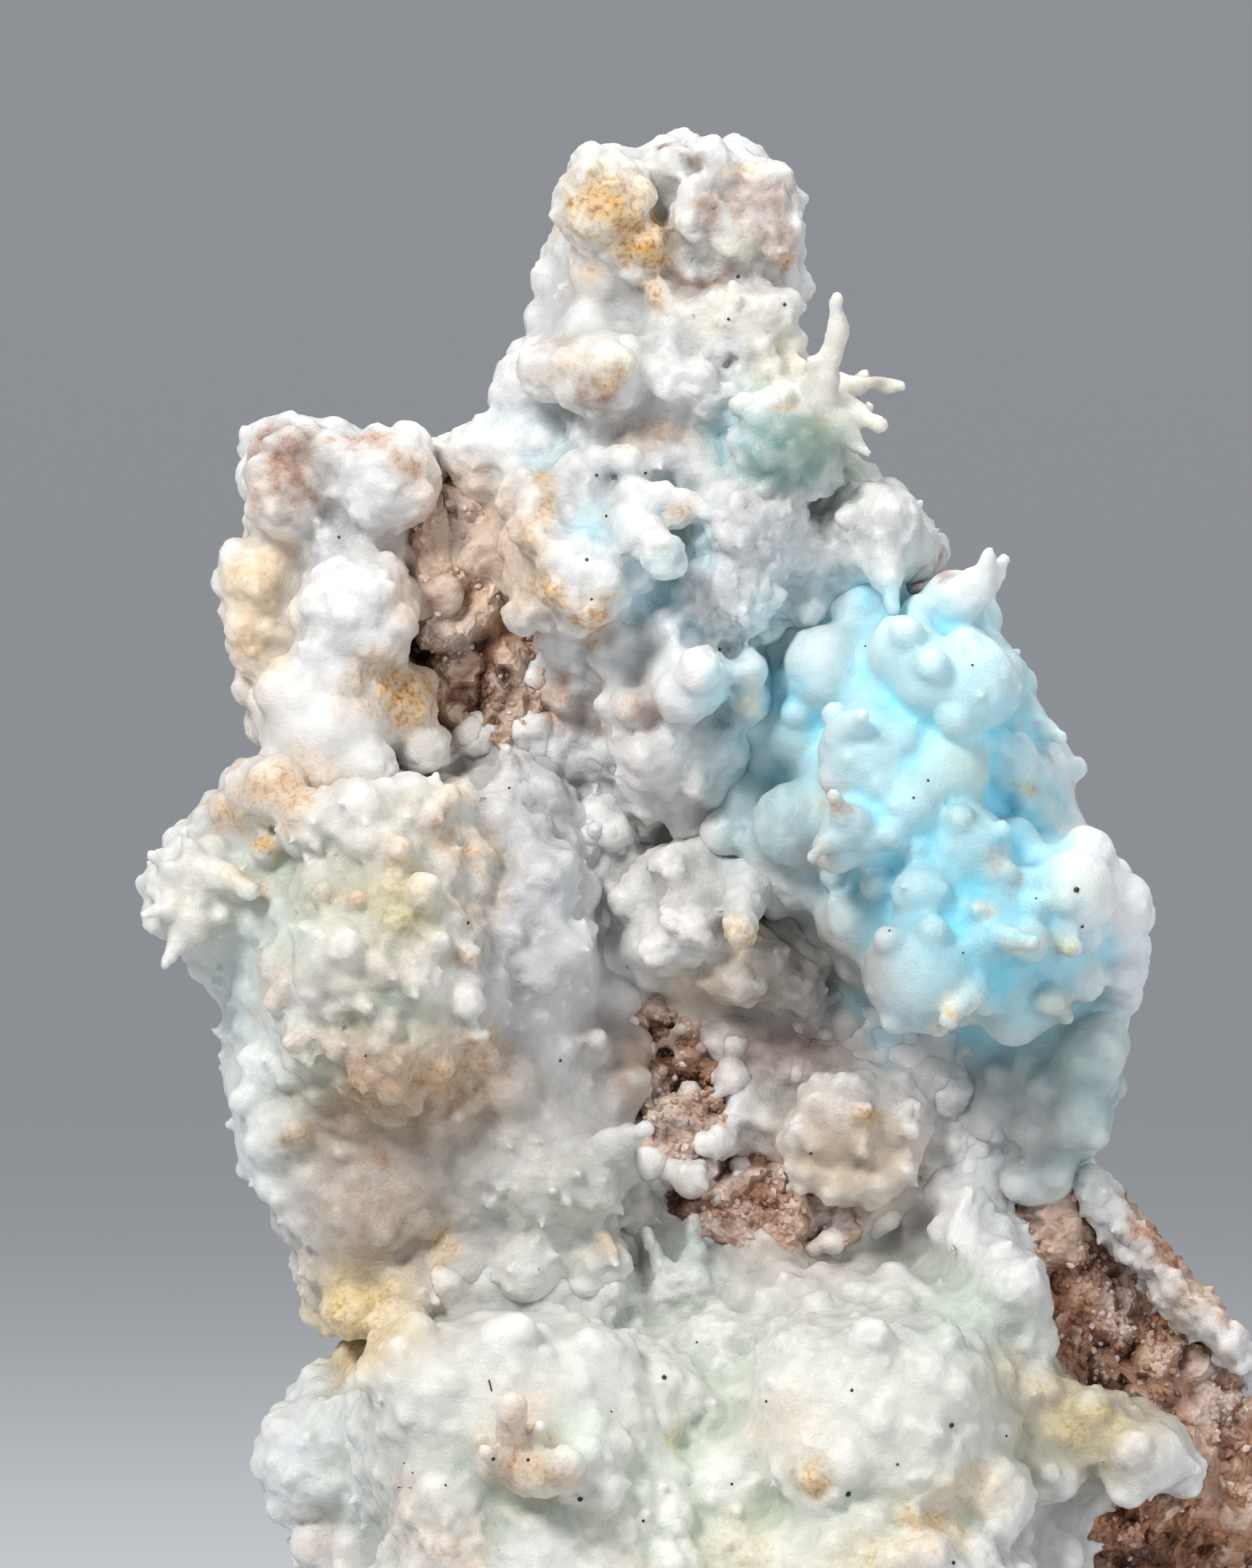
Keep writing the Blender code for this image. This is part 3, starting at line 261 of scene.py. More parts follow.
BASE = {
    "node": "base_growth", "slot": "base_aragonite", "lumps": [(3.4, 1, 2.2), (2.2, 0.5, 1.1)],
    "roughness": 0.75, "nubs": 0.08, "faces": 165000, "fillet": 7, "sink": 0.78,
    "plugs": [
        (-15, 37.4, 3.4), (-11, 38.6, 3.4), (-6.6, 38.4, 3.4), (-2.2, 37.4, 3.2), (2, 36.6, 3),
        (-18.6, 34.8, 2.8), (8.6, 16, 5), (8.8, 21.6, 5), (8.4, 27, 4.6), (7.4, 32.4, 4), (7, 11, 5),
        (1, 23, 4), (1, 29.6, 3.6), (13.6, 31.6, 3.2), (25.4, 31.4, 3), (33.4, 29.6, 2.6),
    ],
    "domes": [
        (-26, 25, 3.6), (-25.6, 17.5, 2.2), (-22, 21, 2.2), (-17, 29, 3.6), (-18, 33, 2.6), (-16, 22, 3),
        (-14, 17, 3), (-7, 18, 3.6), (0, 20, 3), (-2, 25.6, 2.6), (4, 30, 4), (5, 25, 4), (8.5, 21, 3.2),
        (14, 25, 3.4), (12, 30, 3.2), (10, 34.8, 2.6), (16, 36.5, 2.8), (22, 37.4, 2.6), (28, 36, 2.8),
        (32, 38, 2.3), (33, 34, 2), (27, 30.5, 3), (31, 27, 2.8), (25, 22.5, 3.6), (19, 19, 3.2),
        (30, 20, 2.8), (34.5, 24, 1.8), (38, 27, 2.6), (42, 26.5, 2.2), (45, 25, 2), (48, 23.5, 1.6),
        (36, 17, 1.4), (12, 17, 3.4), (5, 16, 3), (23, 38.6, 1.6), (4, 36, 2.4), (-3, 36.5, 2.2),
        (-14, 34.6, 2.4),
    ],
    "buds": [
        (-8.7, 23.8, 1.1, 0.5), (-11.6, 26.2, 0.7, 0.4), (-9.6, 28.8, 0.7, 0.6), (-5.4, 24.4, 1.3, 0.3),
        (15, 23, 1, 0), (34.5, 23, 1.2, 0.2),
    ],
    "fingers": [
        (4.2, [(-8.8, 23.8, 1.7), (-9.3, 25.6, 1.35), (-9.4, 27.6, 1.3), (-9.1, 29.2, 1.15)]),
        (3.4, [(-9.2, 24, 1.3), (-10.2, 24.6, 1.1), (-11.3, 25.4, 0.95)]),
        (4, [(-8.6, 23.4, 1.6), (-6.8, 23.7, 2), (-5, 24.4, 1.45)]),
        (3, [(-7.2, 25.4, 0.9), (-6.9, 27.6, 0.7)]),
        (0.8, [(3.4, 37.4, 1.2), (2.8, 39.6, 1), (1.8, 42.4, 0.6)]),
        (0.8, [(5.4, 38.2, 1.2), (5.6, 41, 1), (5.5, 43.4, 0.6)]),
    ],
}
CENTRE = {
    "node": "centre_growth", "slot": "centre_aragonite", "lumps": [(2.2, 0.8, 1.6), (1.4, 0.4, 0.8)],
    "roughness": 1, "nubs": 0.06, "faces": 20000, "fillet": 2, "sink": 0.6,
    "plugs": [],
    "domes": [
        (5.5, 67.5, 2.8), (2.5, 65.5, 1.8), (-1, 70, 1.3), (3.7, 72.5, 1.6), (2.5, 68.5, 1.5),
        (5.6, 73.6, 2.2), (9, 64, 2.4), (7, 70.6, 1.8),
    ],
    "buds": [(5.6, 67.6, 2.4, -0.5), (3.4, 68.6, 1.2, 0), (2.4, 65.5, 1.5, -0.2)],
    "fingers": [(8.5, [(10.1, 71.4, 2.1), (9.8, 69.4, 1.8), (9.4, 67.4, 1.5)])],
}
ROSETTE = {
    "node": "tan_rosette", "slot": "tan_aragonite", "lumps": [(2.2, 0.8, 1.4), (1.6, 0.4, 0.7)],
    "roughness": 0.8, "nubs": 0.04, "faces": 14000, "fillet": 2, "sink": 0.6,
    "plugs": [],
    "domes": [
        (15, 47.6, 1.6), (17.5, 46.6, 1.8), (20.5, 46.6, 1.8), (22.6, 47.6, 1.5), (14, 50.4, 1.6),
        (18.5, 50.6, 3.4), (22.8, 52.4, 1.6), (16, 53.4, 1.6),
    ],
    "buds": [(19.5, 52.4, 1, 0.2), (19.4, 49.2, 0.9, 0.2)],
    "fingers": [],
}
RIM = {
    "node": "rim_crust", "slot": "rim_aragonite", "lumps": [(1.5, 0.6, 1.5), (0.9, 0.3, 0.8)],
    "roughness": 1.4, "nubs": 0.15, "faces": 16000, "fillet": 2, "sink": 0.6,
    "plugs": [],
    "domes": [],
    "buds": [],
    "fingers": [],
}
GROWTHS = [SUMMIT, BLUE, SPIRE, CREAM_SIDE, BASE, CENTRE, ROSETTE, RIM]

# The thin crust that creeps over the front of the rock between the growths.
CRUST = {
    "lumps": [(1.5, 1.1, 2.4), (1.1, 0.5, 1.1)], "roughness": 1, "faces": 95000, "sink": 0.3,
    "domes": [
        (12, 65, 4.6), (16, 66, 3), (12.5, 70, 2.4), (8, 75.8, 2.6), (3, 78, 2.4), (-1.5, 78.6, 1.8),
        (-3.4, 75, 1.4), (10.5, 61.8, 1.8), (8.7, 55.5, 1.7), (1.5, 54.3, 1), (5, 54, 1.2), (3.5, 58, 1),
        (2, 57.5, 1), (24, 56, 2.8), (23.5, 51.5, 2.2), (28, 54, 1.6), (30, 54.2, 1.2), (28, 51, 1.4),
        (31.5, 49.6, 1.6), (34.5, 48.8, 1.5), (33, 57, 1.2), (18.5, 57.5, 2.2), (14.5, 59.5, 1.8),
        (6.8, 41.5, 1.2), (20.8, 56, 1.6), (26, 48, 1.6), (-15.5, 81, 1.5), (-7.6, 88, 1.2),
        (-8.6, 83.6, 1.2), (46.6, 38.4, 1.2), (30, 44, 1.8), (29.5, 40.6, 1.8), (0.6, 59.6, 0.8),
        (2.4, 60, 0.7), (4.6, 59.2, 0.9), (6.2, 57.6, 0.8), (3, 55.8, 0.7), (0.2, 56.4, 0.8),
        (6.6, 59.8, 0.7), (1.4, 52.8, 0.7), (7.4, 53.6, 0.8), (4.4, 56.6, 0.8), (11.6, 42.6, 0.9),
        (13.6, 46, 1), (9.4, 47.6, 1.1), (17, 42, 1.3), (11, 49.6, 0.9), (7.4, 45, 0.8), (20.4, 42.4, 1.2),
        (24.6, 44.4, 1.3), (15.4, 41, 1),
    ],
}

# Zones seen from the front: x, z, half width, half height, strength.
# Where that crust lies, and how closely.
CRUST_ZONES = [
    (-9, 76, 6, 9, 1), (-5, 62, 5, 7, 1), (4, 78, 10, 7, 0.9), (7, 68, 9, 6.5, 1), (14, 64, 9, 6, 1),
    (24, 57, 11, 5.5, 1), (12, 83, 6, 7, 1), (4, 58, 4, 4, 0.3), (22, 47, 8, 4.5, 0.6), (29, 50, 7, 5.5, 1),
    (38, 51, 7, 7, 1), (-13, 107.4, 4.5, 2.6, 1), (-19, 87, 4, 4, 0.5), (-13, 80.5, 9, 3.4, 1),
    (-10, 50, 9, 7, 1), (-3, 45, 6, 7, 1), (8, 38.5, 8, 2.8, 0.8), (29, 40.5, 4, 5, 1),
    (34, 47.5, 3, 2.6, 0.9), (46, 39, 3.2, 4, 0.7), (50, 33, 3, 3, 0.7), (14, 57, 6, 2.4, 0.55),
    (-24, 33, 4, 6, 1), (6, 92, 9, 9, 1), (20, 92, 9, 9, 1), (-10, 39, 12, 3.2, 1), (4, 56, 3.5, 5, 0.35),
    (13, 47.5, 5, 3, 0.45), (-31, 62, 5, 22, 1), (-29, 94, 4, 15, 1), (30, 76, 9, 14, 1),
]

# Where the growths leave the rock bare.
BARE_ZONES = [
    (-13, 91, 7, 9, 1), (-10.5, 87, 5.5, 5, 1), (-14, 99, 4.6, 7, 1), (3, 55, 5, 7, 1), (12, 44, 9, 5, 1),
    (14, 57.4, 5, 2, 0.8), (38, 36, 7, 10, 1), (46, 24, 8, 12, 1), (-1.2, 72, 1.6, 3, 1),
    (34.5, 44, 5, 4.6, 1), (30.6, 56.4, 2.6, 1.8, 1), (24, 58.8, 3, 1.3, 0.6), (1.6, 76.6, 2.6, 1.8, 0.8),
    (40, 15, 6, 3, 1), (-2.6, 83.6, 2, 2.4, 1), (2.4, 75.4, 2, 1.4, 0.7),
]

# Where the rock lies bare and sugary.
ROCK_ZONES = [
    (-14, 94, 8, 14, 1), (8, 50, 16, 13, 1), (40, 36, 10, 13, 1), (46, 22, 9, 14, 1), (-1, 72, 3, 5, 1),
    (-3, 84, 5, 4, 1),
]

# Where the rock has no painted shade in its pits, and stays pale.
PALE_ZONES = [(-13.6, 99.6, 5, 6.5, 0.8), (-15.6, 94, 3, 4, 0.5)]

# Where the rock bulges forward between the growths, by a strength in millimetres.
RAISED_ZONES = [
    (-13.8, 97, 4.6, 7, 4.5), (-11, 88, 5.5, 6, 2.6), (4, 54, 6, 8, 1.2), (35, 44, 5, 5, 1),
    (13, 44, 8, 4, 1.2), (-2, 83, 3, 3, 1.5),
]

# Where a growth's solid is pressed flatter.
FLAT_ZONES = [
    (-20, 43, 9, 8, 0.8), (-6, 45, 9, 8, 0.9), (4, 110, 8, 8, 0.9), (-24, 84, 9, 8, 0.6),
    (-9, 29, 16, 12, 0.5), (20, 29, 14, 12, 0.6), (-22, 94, 7, 9, 0.6), (-21, 64, 14, 16, 0.4),
    (-2, 118, 5, 6, 0.7), (42, 25, 6, 5, 0.5), (5, 20, 7, 14, 0.8),
]

# Where a growth stays smooth.
CALM_ZONES = [
    (-25, 84, 5.5, 4.5, 1), (-9, 31, 9, 6, 0.5), (14.5, 107, 4, 2.8, 0.9), (24, 88, 5, 4, 0.7),
    (26, 80.5, 3.4, 4, 0.9), (23.5, 64, 5, 4, 0.8), (36, 70.5, 3.5, 3.5, 0.8), (-4, 118, 3.5, 4, 0.7),
    (17.6, 113, 5, 6, 0.8), (14.5, 84, 3, 3.5, 0.8), (4.6, 87.5, 3, 3.5, 0.8), (10, 87.5, 2.4, 3.5, 0.8),
]

# Where a growth is roughest, like a cauliflower.
ROUGH_ZONES = [
    (10, 97, 5.5, 7.5, 1), (20, 101, 6, 3, 0.8), (-22, 64, 11, 13, 0.3), (4.5, 66.5, 5, 4, 1),
    (-9, 73, 4, 9, 0.8), (13, 64, 6, 4, 0.8), (10, 125, 4.5, 5.5, 1), (45, 38, 6, 8, 1),
    (30, 40, 4, 6, 0.8), (27, 52, 7, 4, 0.9), (6, 18, 28, 3.5, 0.5), (12, 36, 14, 4, 0.8),
]

# Where the nubs have warm tips.
NUB_ZONES = [(-22, 64, 14, 17, 1), (-2, 124, 6, 6, 1), (26, 64, 4, 6, 0.5)]

# Where the painted shade in hollows is tinted pale green.
FERN_ZONES = [(4, 24, 34, 11, 0.7), (-24, 66, 12, 13, 0.8), (12, 36, 20, 6, 0.4)]

# Where hollows are a deeper cyan lit with painted glow, rather than darkened with painted shade.
GLOW_ZONES = [
    (25, 82, 13.5, 14.5, 1), (28, 66, 14, 11, 1), (4, 98, 6.5, 6, 0.6), (-10, 107, 5, 3.5, 0.5),
    (10, 108, 4.5, 4, 0.5),
]

# Broad soft washes under the patches: x, z, half width, half height, colour, strength.
WASHES = [
    (25, 83, 12.5, 14, SKY, 1), (28, 67, 13, 10, (0.62, 0.81, 0.855), 1),
    (10, 97, 7, 9, (0.83, 0.82, 0.82), 0.8), (20, 101, 7, 4.5, (0.82, 0.82, 0.81), 0.9),
    (3, 86, 9, 8, (0.86, 0.88, 0.89), 0.8), (8, 73, 9, 8, (0.75, 0.73, 0.71), 0.8),
    (14, 64, 8, 5, (0.69, 0.66, 0.64), 0.8), (-22, 66, 12, 12, (0.775, 0.74, 0.67), 0.8),
    (-20, 54, 12, 5, (0.72, 0.64, 0.56), 0.8), (-31, 60, 4, 13, (0.83, 0.88, 0.88), 0.8),
    (-8, 70, 4.5, 12, (0.76, 0.76, 0.77), 0.9), (-20, 43, 7.5, 6.5, DUSK, 0.85),
    (-5.5, 46, 7, 7, (0.71, 0.7, 0.68), 0.85), (-8, 26, 18, 12, (0.8, 0.805, 0.775), 0.95),
    (20, 26, 15, 13, (0.84, 0.84, 0.8), 0.95), (39, 27, 7.5, 5.5, (0.67, 0.63, 0.54), 0.9),
    # (37, 54): the pale teal lobes, darkened with painted shade.
    (29, 36, 7, 4, (0.79, 0.81, 0.78), 0.8), (37, 54, 5.5, 8, (0.6, 0.69, 0.69), 0.9),
    (32, 51, 5, 3, GREY, 0.7), (18.5, 49.5, 6.5, 5.5, (0.75, 0.66, 0.57), 0.95),
    (3, 57, 5, 4.5, (0.54, 0.41, 0.31), 0.85), (13, 57.5, 7, 3, (0.64, 0.53, 0.48), 0.8),
    (12, 44, 9, 4.5, (0.62, 0.5, 0.43), 0.8), (44, 38, 6, 7, (0.76, 0.73, 0.72), 0.8),
    (-13, 94, 5, 10, (0.8, 0.71, 0.63), 0.9), (24, 55, 6, 4, (0.68, 0.66, 0.66), 0.8),
    # (41.4, 69) and (-30, 94): white and beige, painted lighter than their own colour, as painted light
    # against the shade on those sides.
    (41.4, 69, 4, 9, (0.93, 0.95, 0.96), 0.9), (-30, 94, 3, 7, (0.97, 0.89, 0.78), 0.9),
    (6, 21, 6, 12, (0.89, 0.9, 0.87), 0.7), (10.6, 80, 3.5, 7, (0.74, 0.85, 0.87), 0.7),
    (-21.4, 35.6, 5, 4, (0.86, 0.78, 0.6), 0.85), (12, 88, 4, 8, (0.74, 0.86, 0.88), 0.7),
]

# Painted patches of the growths, in the same order of values.
PATCHES = [
    # the block on the summit
    (-1.6, 126.8, 3.8, 3.6, (0.88, 0.78, 0.58), 0.95), (-1.8, 126.2, 2, 1.8, OCHRE, 0.8),
    (1.8, 123.4, 2.6, 2, OCHRE, 0.9), (2.8, 120.2, 1.4, 2, OCHRE, 0.85),
    (-2.4, 121.2, 2.4, 2.2, BEIGE, 0.8), (10.4, 128.6, 3.2, 1.5, (0.7, 0.58, 0.51), 0.85),
    (12.4, 124.8, 1.8, 3.4, (0.68, 0.56, 0.5), 0.85), (7, 126.2, 1.4, 1.9, (0.66, 0.54, 0.48), 0.85),
    (8.8, 130.4, 2.4, 0.9, BEIGE, 0.8), (9.8, 126, 0.9, 2.6, (0.74, 0.64, 0.58), 0.8),
    (9.2, 123, 2.4, 1.6, CREAM, 0.7), (6.6, 120.9, 3.6, 0.8, BROWN, 0.9),
    (13.2, 121.9, 0.7, 0.7, OCHRE, 0.7), (8.6, 118.2, 4.4, 1.6, CREAM, 0.7),
    (3.2, 132, 0.8, 0.6, BROWN, 0.9), (4.8, 130.8, 1, 0.7, BROWN, 0.8),
    # the neck and the green knob
    (-5.4, 113.8, 2.2, 1.9, BEIGE, 0.7), (-1.4, 113.2, 2.8, 2.4, CREAM, 0.8),
    (-2.6, 110.6, 2, 1.6, (0.56, 0.42, 0.34), 0.9), (-1.2, 111.8, 0.9, 0.9, TAN, 0.9),
    (2, 107.8, 3.4, 1.3, (0.78, 0.68, 0.6), 0.9), (5, 111.4, 4, 4, LILAC, 0.3),
    (14.4, 106.9, 5, 3.4, TEAL, 1), (14.4, 106.7, 4.2, 2.8, TEAL, 1), (11.8, 111.4, 2.4, 2, MINT, 0.7),
    (13, 110.6, 1, 0.9, TAN, 0.9), (12.4, 114.8, 2.6, 2, CREAM, 0.7), (18.2, 112.4, 4.4, 6, CREAM, 0.7),
    (9.4, 107.4, 2.4, 3, SKY, 0.35),
    # below the neck
    (-10.2, 107, 4, 2.4, ICE, 0.5), (-6.4, 103.3, 1, 2.2, TAN, 0.9), (-7.4, 99.6, 1.2, 1.9, TAN, 0.85),
    (-6.2, 95.4, 1.5, 1.4, OCHRE, 0.95), (-2.7, 93, 2, 1.6, TAN, 0.9), (-2.4, 92.6, 1, 0.8, OCHRE, 0.6),
    (4.3, 101.3, 1.2, 1, OCHRE, 0.6), (3.2, 97.6, 1.3, 1.2, BEIGE, 0.7), (-2.6, 100.2, 1.7, 1.5, SKY, 0.7),
    (5.4, 98.6, 1.7, 2.2, SKY, 0.7), (2.6, 96, 2.6, 2.2, SKY, 0.5), (-8.4, 95, 1.8, 3.4, BEIGE, 0.7),
    (9.8, 97.8, 4.4, 5, GREY, 0.6), (17.5, 98.5, 5.5, 4, GREY, 0.35),
    (0.4, 85.6, 2.4, 2.4, (0.8, 0.69, 0.62), 0.8), (-5.2, 86.6, 1.7, 1.7, (0.84, 0.7, 0.62), 0.95),
    (-3, 84, 1.6, 1.2, BROWN, 0.7), (2.6, 81, 3.6, 3, LILAC, 0.6), (5.4, 88.4, 2, 2, WHITE, 0.7),
    (10.2, 86.4, 1.4, 1.6, CREAM, 0.8), (7.6, 87.4, 0.9, 2, SKY, 0.7), (12.6, 86.6, 1.8, 3, CYAN, 0.6),
    # the blue growth
    (20.6, 94.6, 3, 1.8, CYAN, 0.6), (31.6, 84.6, 1.3, 2, CYAN, 0.8), (32.4, 75.4, 1.6, 1.8, CYAN, 0.8),
    (28, 70.8, 2.2, 1, CYAN, 0.6), (30.6, 64, 1.8, 2, CYAN, 0.6), (26.4, 80.4, 3, 3.6, MINT, 0.55),
    (36.8, 71, 2.6, 2.4, MINT, 0.7), (36.1, 66.4, 0.9, 0.8, YELLOW, 0.9), (32.4, 66.6, 1.9, 1, CREAM, 0.7),
    (26.8, 61, 1.8, 1.6, CREAM, 0.8), (26.6, 59.8, 0.8, 0.7, OCHRE, 0.8),
    (32.4, 79.2, 0.8, 0.6, YELLOW, 0.8), (35.6, 60.8, 1.4, 1.2, CREAM, 0.6),
    (16.6, 78, 1.2, 1.3, PINK, 0.6), (15.4, 73.6, 1.2, 1, PINK, 0.6), (30.8, 72.4, 1, 1.4, PINK, 0.5),
    (28.6, 69, 1, 0.8, CREAM, 0.8), (25.4, 97, 0.7, 0.8, RUST, 1), (29, 96, 2.6, 2.4, WHITE, 0.8),
    (40.6, 70, 2.4, 3.6, WHITE, 0.75), (37.8, 75.4, 2, 3.6, WHITE, 0.7), (35.6, 82, 2, 2.4, WHITE, 0.5),
    # (37.6, 54): the pale teal lobes, darkened with painted shade.
    (37.6, 54, 3, 5, (0.62, 0.71, 0.71), 0.8), (12.4, 75.6, 3.6, 5, (0.62, 0.74, 0.76), 0.7),
    (11.4, 70.4, 2.6, 2.6, GREY, 0.7), (24, 96.4, 4.4, 1.4, WHITE, 0.4),
    (17.4, 63.2, 3, 3, (0.66, 0.66, 0.66), 0.7), (32, 51.4, 5.2, 2.8, GREY, 0.8),
    # the spire
    (-27.6, 105.8, 2.8, 3, (0.64, 0.51, 0.43), 0.9), (-28.4, 107.4, 1.2, 0.9, RUST, 0.5),
    (-26.8, 102.4, 1.4, 2.4, (0.64, 0.51, 0.43), 0.8), (-21.4, 107.2, 2.6, 0.9, (0.7, 0.55, 0.45), 0.8),
    (-17.6, 105.6, 1.3, 1.3, (0.7, 0.52, 0.36), 0.8), (-29.6, 104, 0.9, 2.2, (0.78, 0.68, 0.6), 0.7),
    (-25.8, 107.4, 1, 1, BROWN, 0.55), (-26.6, 104, 1, 1.6, BROWN, 0.6), (-30.2, 96.4, 2.4, 2.4, TAN, 0.6),
    (-31.2, 90.6, 1.6, 2, TAN, 0.5), (-18.8, 86.8, 4, 3, OCHRE, 0.9), (-26.5, 83.8, 5, 4, WHITE, 0.8),
    (-20.6, 99.6, 1.8, 1.6, LILAC, 0.4), (-31, 86, 1.4, 3, BEIGE, 0.5),
    # the cream growth
    (-29.8, 78.6, 3.2, 2.6, TAN, 0.75), (-33.4, 77.2, 1.8, 1.4, TAN, 0.8),
    (-29.6, 74, 1.3, 1.1, OCHRE, 0.95), (-31.6, 71, 1.9, 1, TAN, 0.6), (-35.4, 70, 3.4, 5, CREAM, 0.4),
    (-14.5, 78.2, 1.4, 1.2, TAN, 0.6), (-15.6, 75.9, 0.9, 0.9, RUST, 0.6),
    (-18.4, 73.8, 1.5, 1.3, TAN, 0.6), (-12, 73.4, 1.8, 1.5, TAN, 0.7), (-24.6, 70.2, 1.1, 0.9, PINK, 0.9),
    (-21.8, 69.8, 1, 0.8, PINK, 0.9), (-17.6, 68.4, 1.6, 1.5, OLIVE, 0.55),
    (-12.8, 65.4, 1.2, 0.9, OCHRE, 0.6), (-28.5, 61.6, 1.3, 1.2, PINK, 0.8),
    (-27, 57.8, 1.3, 1.8, PINK, 0.6), (-18.8, 61.6, 1.6, 1.2, TEAL, 0.5),
    (-12.3, 59.2, 0.9, 0.8, OCHRE, 0.9), (-11.6, 57.6, 1.2, 1, PINK, 0.9),
    (-27.2, 50.8, 1.7, 1.3, TAN, 0.8), (-27.9, 50.6, 0.7, 0.8, OLIVE, 0.6), (-20.5, 49, 0.8, 1, RUST, 0.85),
    (-19, 52.6, 8, 4.2, (0.7, 0.6, 0.5), 0.65), (-10.4, 55.4, 2.8, 2.6, TAN, 0.4),
    (-28.6, 64, 1.8, 2.4, PINK, 0.5), (-26.2, 66.8, 3, 3, MINT, 0.5), (-7, 70, 4, 6, GREY, 0.55),
    (-5.8, 60.5, 3, 4, GREY, 0.45), (-20.2, 43.4, 6.4, 5.4, DUSK, 0.85),
    (-22.4, 36, 3.2, 3.4, (0.86, 0.76, 0.54), 0.85), (-23.8, 31.8, 0.9, 1.4, OCHRE, 0.8),
    (-15, 40.6, 1.1, 1.6, OCHRE, 0.5), (-6.4, 45.4, 6.4, 6, (0.74, 0.74, 0.71), 0.7),
    (-2.2, 41.2, 1.2, 1, TAN, 0.7), (-3.6, 39.6, 1.4, 1, OLIVE, 0.4), (-6.6, 51.6, 2.4, 1.6, LILAC, 0.5),
    (-30.6, 56, 2, 5, WHITE, 0.5), (-15.4, 56.4, 2.8, 2.4, (0.84, 0.7, 0.54), 0.7),
    (-21.4, 54, 3, 2, (0.74, 0.6, 0.46), 0.6), (-27.6, 79, 3.4, 3, TAN, 0.6),
    (-18, 71, 3, 1.6, YELLOW, 0.5), (-19, 68.8, 2.6, 1.4, OLIVE, 0.4), (-23, 66, 2.6, 1.8, WHITE, 0.6),
    (-24.6, 61.4, 4, 1.6, WHITE, 0.5), (-13.2, 74.6, 2.4, 1.8, TAN, 0.5), (-15, 63, 2.4, 2, WHITE, 0.6),
    (-25.6, 55.4, 2.4, 2.4, MINT, 0.5), (-22, 76, 5, 2, WHITE, 0.5),
    (-26, 70.4, 3, 2, (0.7, 0.74, 0.64), 0.5), (-17, 59.6, 2, 1.4, (0.72, 0.76, 0.68), 0.5),
    (-17.6, 77.4, 3, 1.4, CREAM, 0.5), (-12, 69, 2, 2, TAN, 0.35),
    # the foot
    (-8.8, 26, 2.2, 4.2, PINK, 0.85), (-6.4, 23.8, 2.6, 1.8, TAN, 0.85), (-9, 28, 1, 2.4, TAN, 0.55),
    (-10.8, 24.6, 1.6, 1.1, TAN, 0.5), (-14, 16.4, 2.4, 4, PINK, 0.5), (-25, 17.6, 1.8, 2, PINK, 0.4),
    (15.2, 23.2, 1.7, 1.4, OCHRE, 0.75), (24.6, 18.8, 3, 2.4, TAN, 0.55), (29, 21.6, 2, 1.5, TAN, 0.4),
    (12.6, 27.4, 3.2, 3, PINK, 0.35), (37.8, 27, 4.6, 3.6, (0.8, 0.75, 0.62), 0.6),
    (37.8, 27, 2.2, 1.9, YELLOW, 0.75), (4.4, 26.6, 1.6, 2, OLIVE, 0.3), (3.6, 25.8, 0.8, 0.8, YELLOW, 0.5),
    (34.6, 30.4, 1.8, 0.9, YELLOW, 0.6), (14, 13, 5, 3, TAN, 0.35), (27.6, 36.4, 2.6, 3, MINT, 0.7),
    (-3.6, 26.6, 2.4, 1.8, MINT, 0.7), (-8, 33, 12, 6, WHITE, 0.3), (22, 30, 9, 6, WHITE, 0.3),
    (-26, 25, 3.6, 5, ICE, 0.4), (5.8, 41.6, 3.6, 3, (0.66, 0.72, 0.7), 0.7),
    (9, 17.6, 3.4, 2.4, YELLOW, 0.45), (19.4, 16.6, 3.2, 2.2, YELLOW, 0.5),
    (26.8, 22.6, 1.8, 1.6, TAN, 0.5), (-17.6, 20, 2.2, 3.4, PINK, 0.4), (1, 14, 3.4, 2.6, PINK, 0.4),
    (30.8, 31.4, 2.4, 2, YELLOW, 0.4), (14.6, 22.8, 1, 0.8, OCHRE, 0.8), (24, 19.6, 1.2, 0.9, OCHRE, 0.6),
    (-1.6, 19, 2.4, 2, CREAM, 0.5),
    # the middle
    (7, 62.6, 4.4, 1.9, TAN, 0.45), (13.4, 64.6, 5, 4, DUSK, 0.5),
    (9.4, 67, 1.5, 1.3, (0.86, 0.72, 0.46), 0.8), (9.9, 70.6, 2, 2.4, WHITE, 0.7),
    (4.6, 67.4, 3.4, 3, WHITE, 0.5), (19.6, 52.4, 1.3, 0.9, OCHRE, 0.9), (18.6, 48, 4.6, 3, CREAM, 0.4),
    (42.8, 44.8, 1.9, 2.4, (0.62, 0.37, 0.17), 1), (45, 42.2, 1.9, 2.6, (0.68, 0.42, 0.19), 1),
    (47, 39.6, 1.9, 2.6, (0.6, 0.37, 0.19), 1), (49, 36.8, 1.5, 2.2, (0.66, 0.46, 0.32), 0.8),
    (-13, 100, 4.6, 5, (0.87, 0.77, 0.69), 0.9), (-16.4, 96.6, 1.6, 2.6, (0.66, 0.52, 0.44), 0.8),
    (46, 36.6, 2, 2, BEIGE, 0.5), (50, 32.6, 2, 1.8, LILAC, 0.5),
]

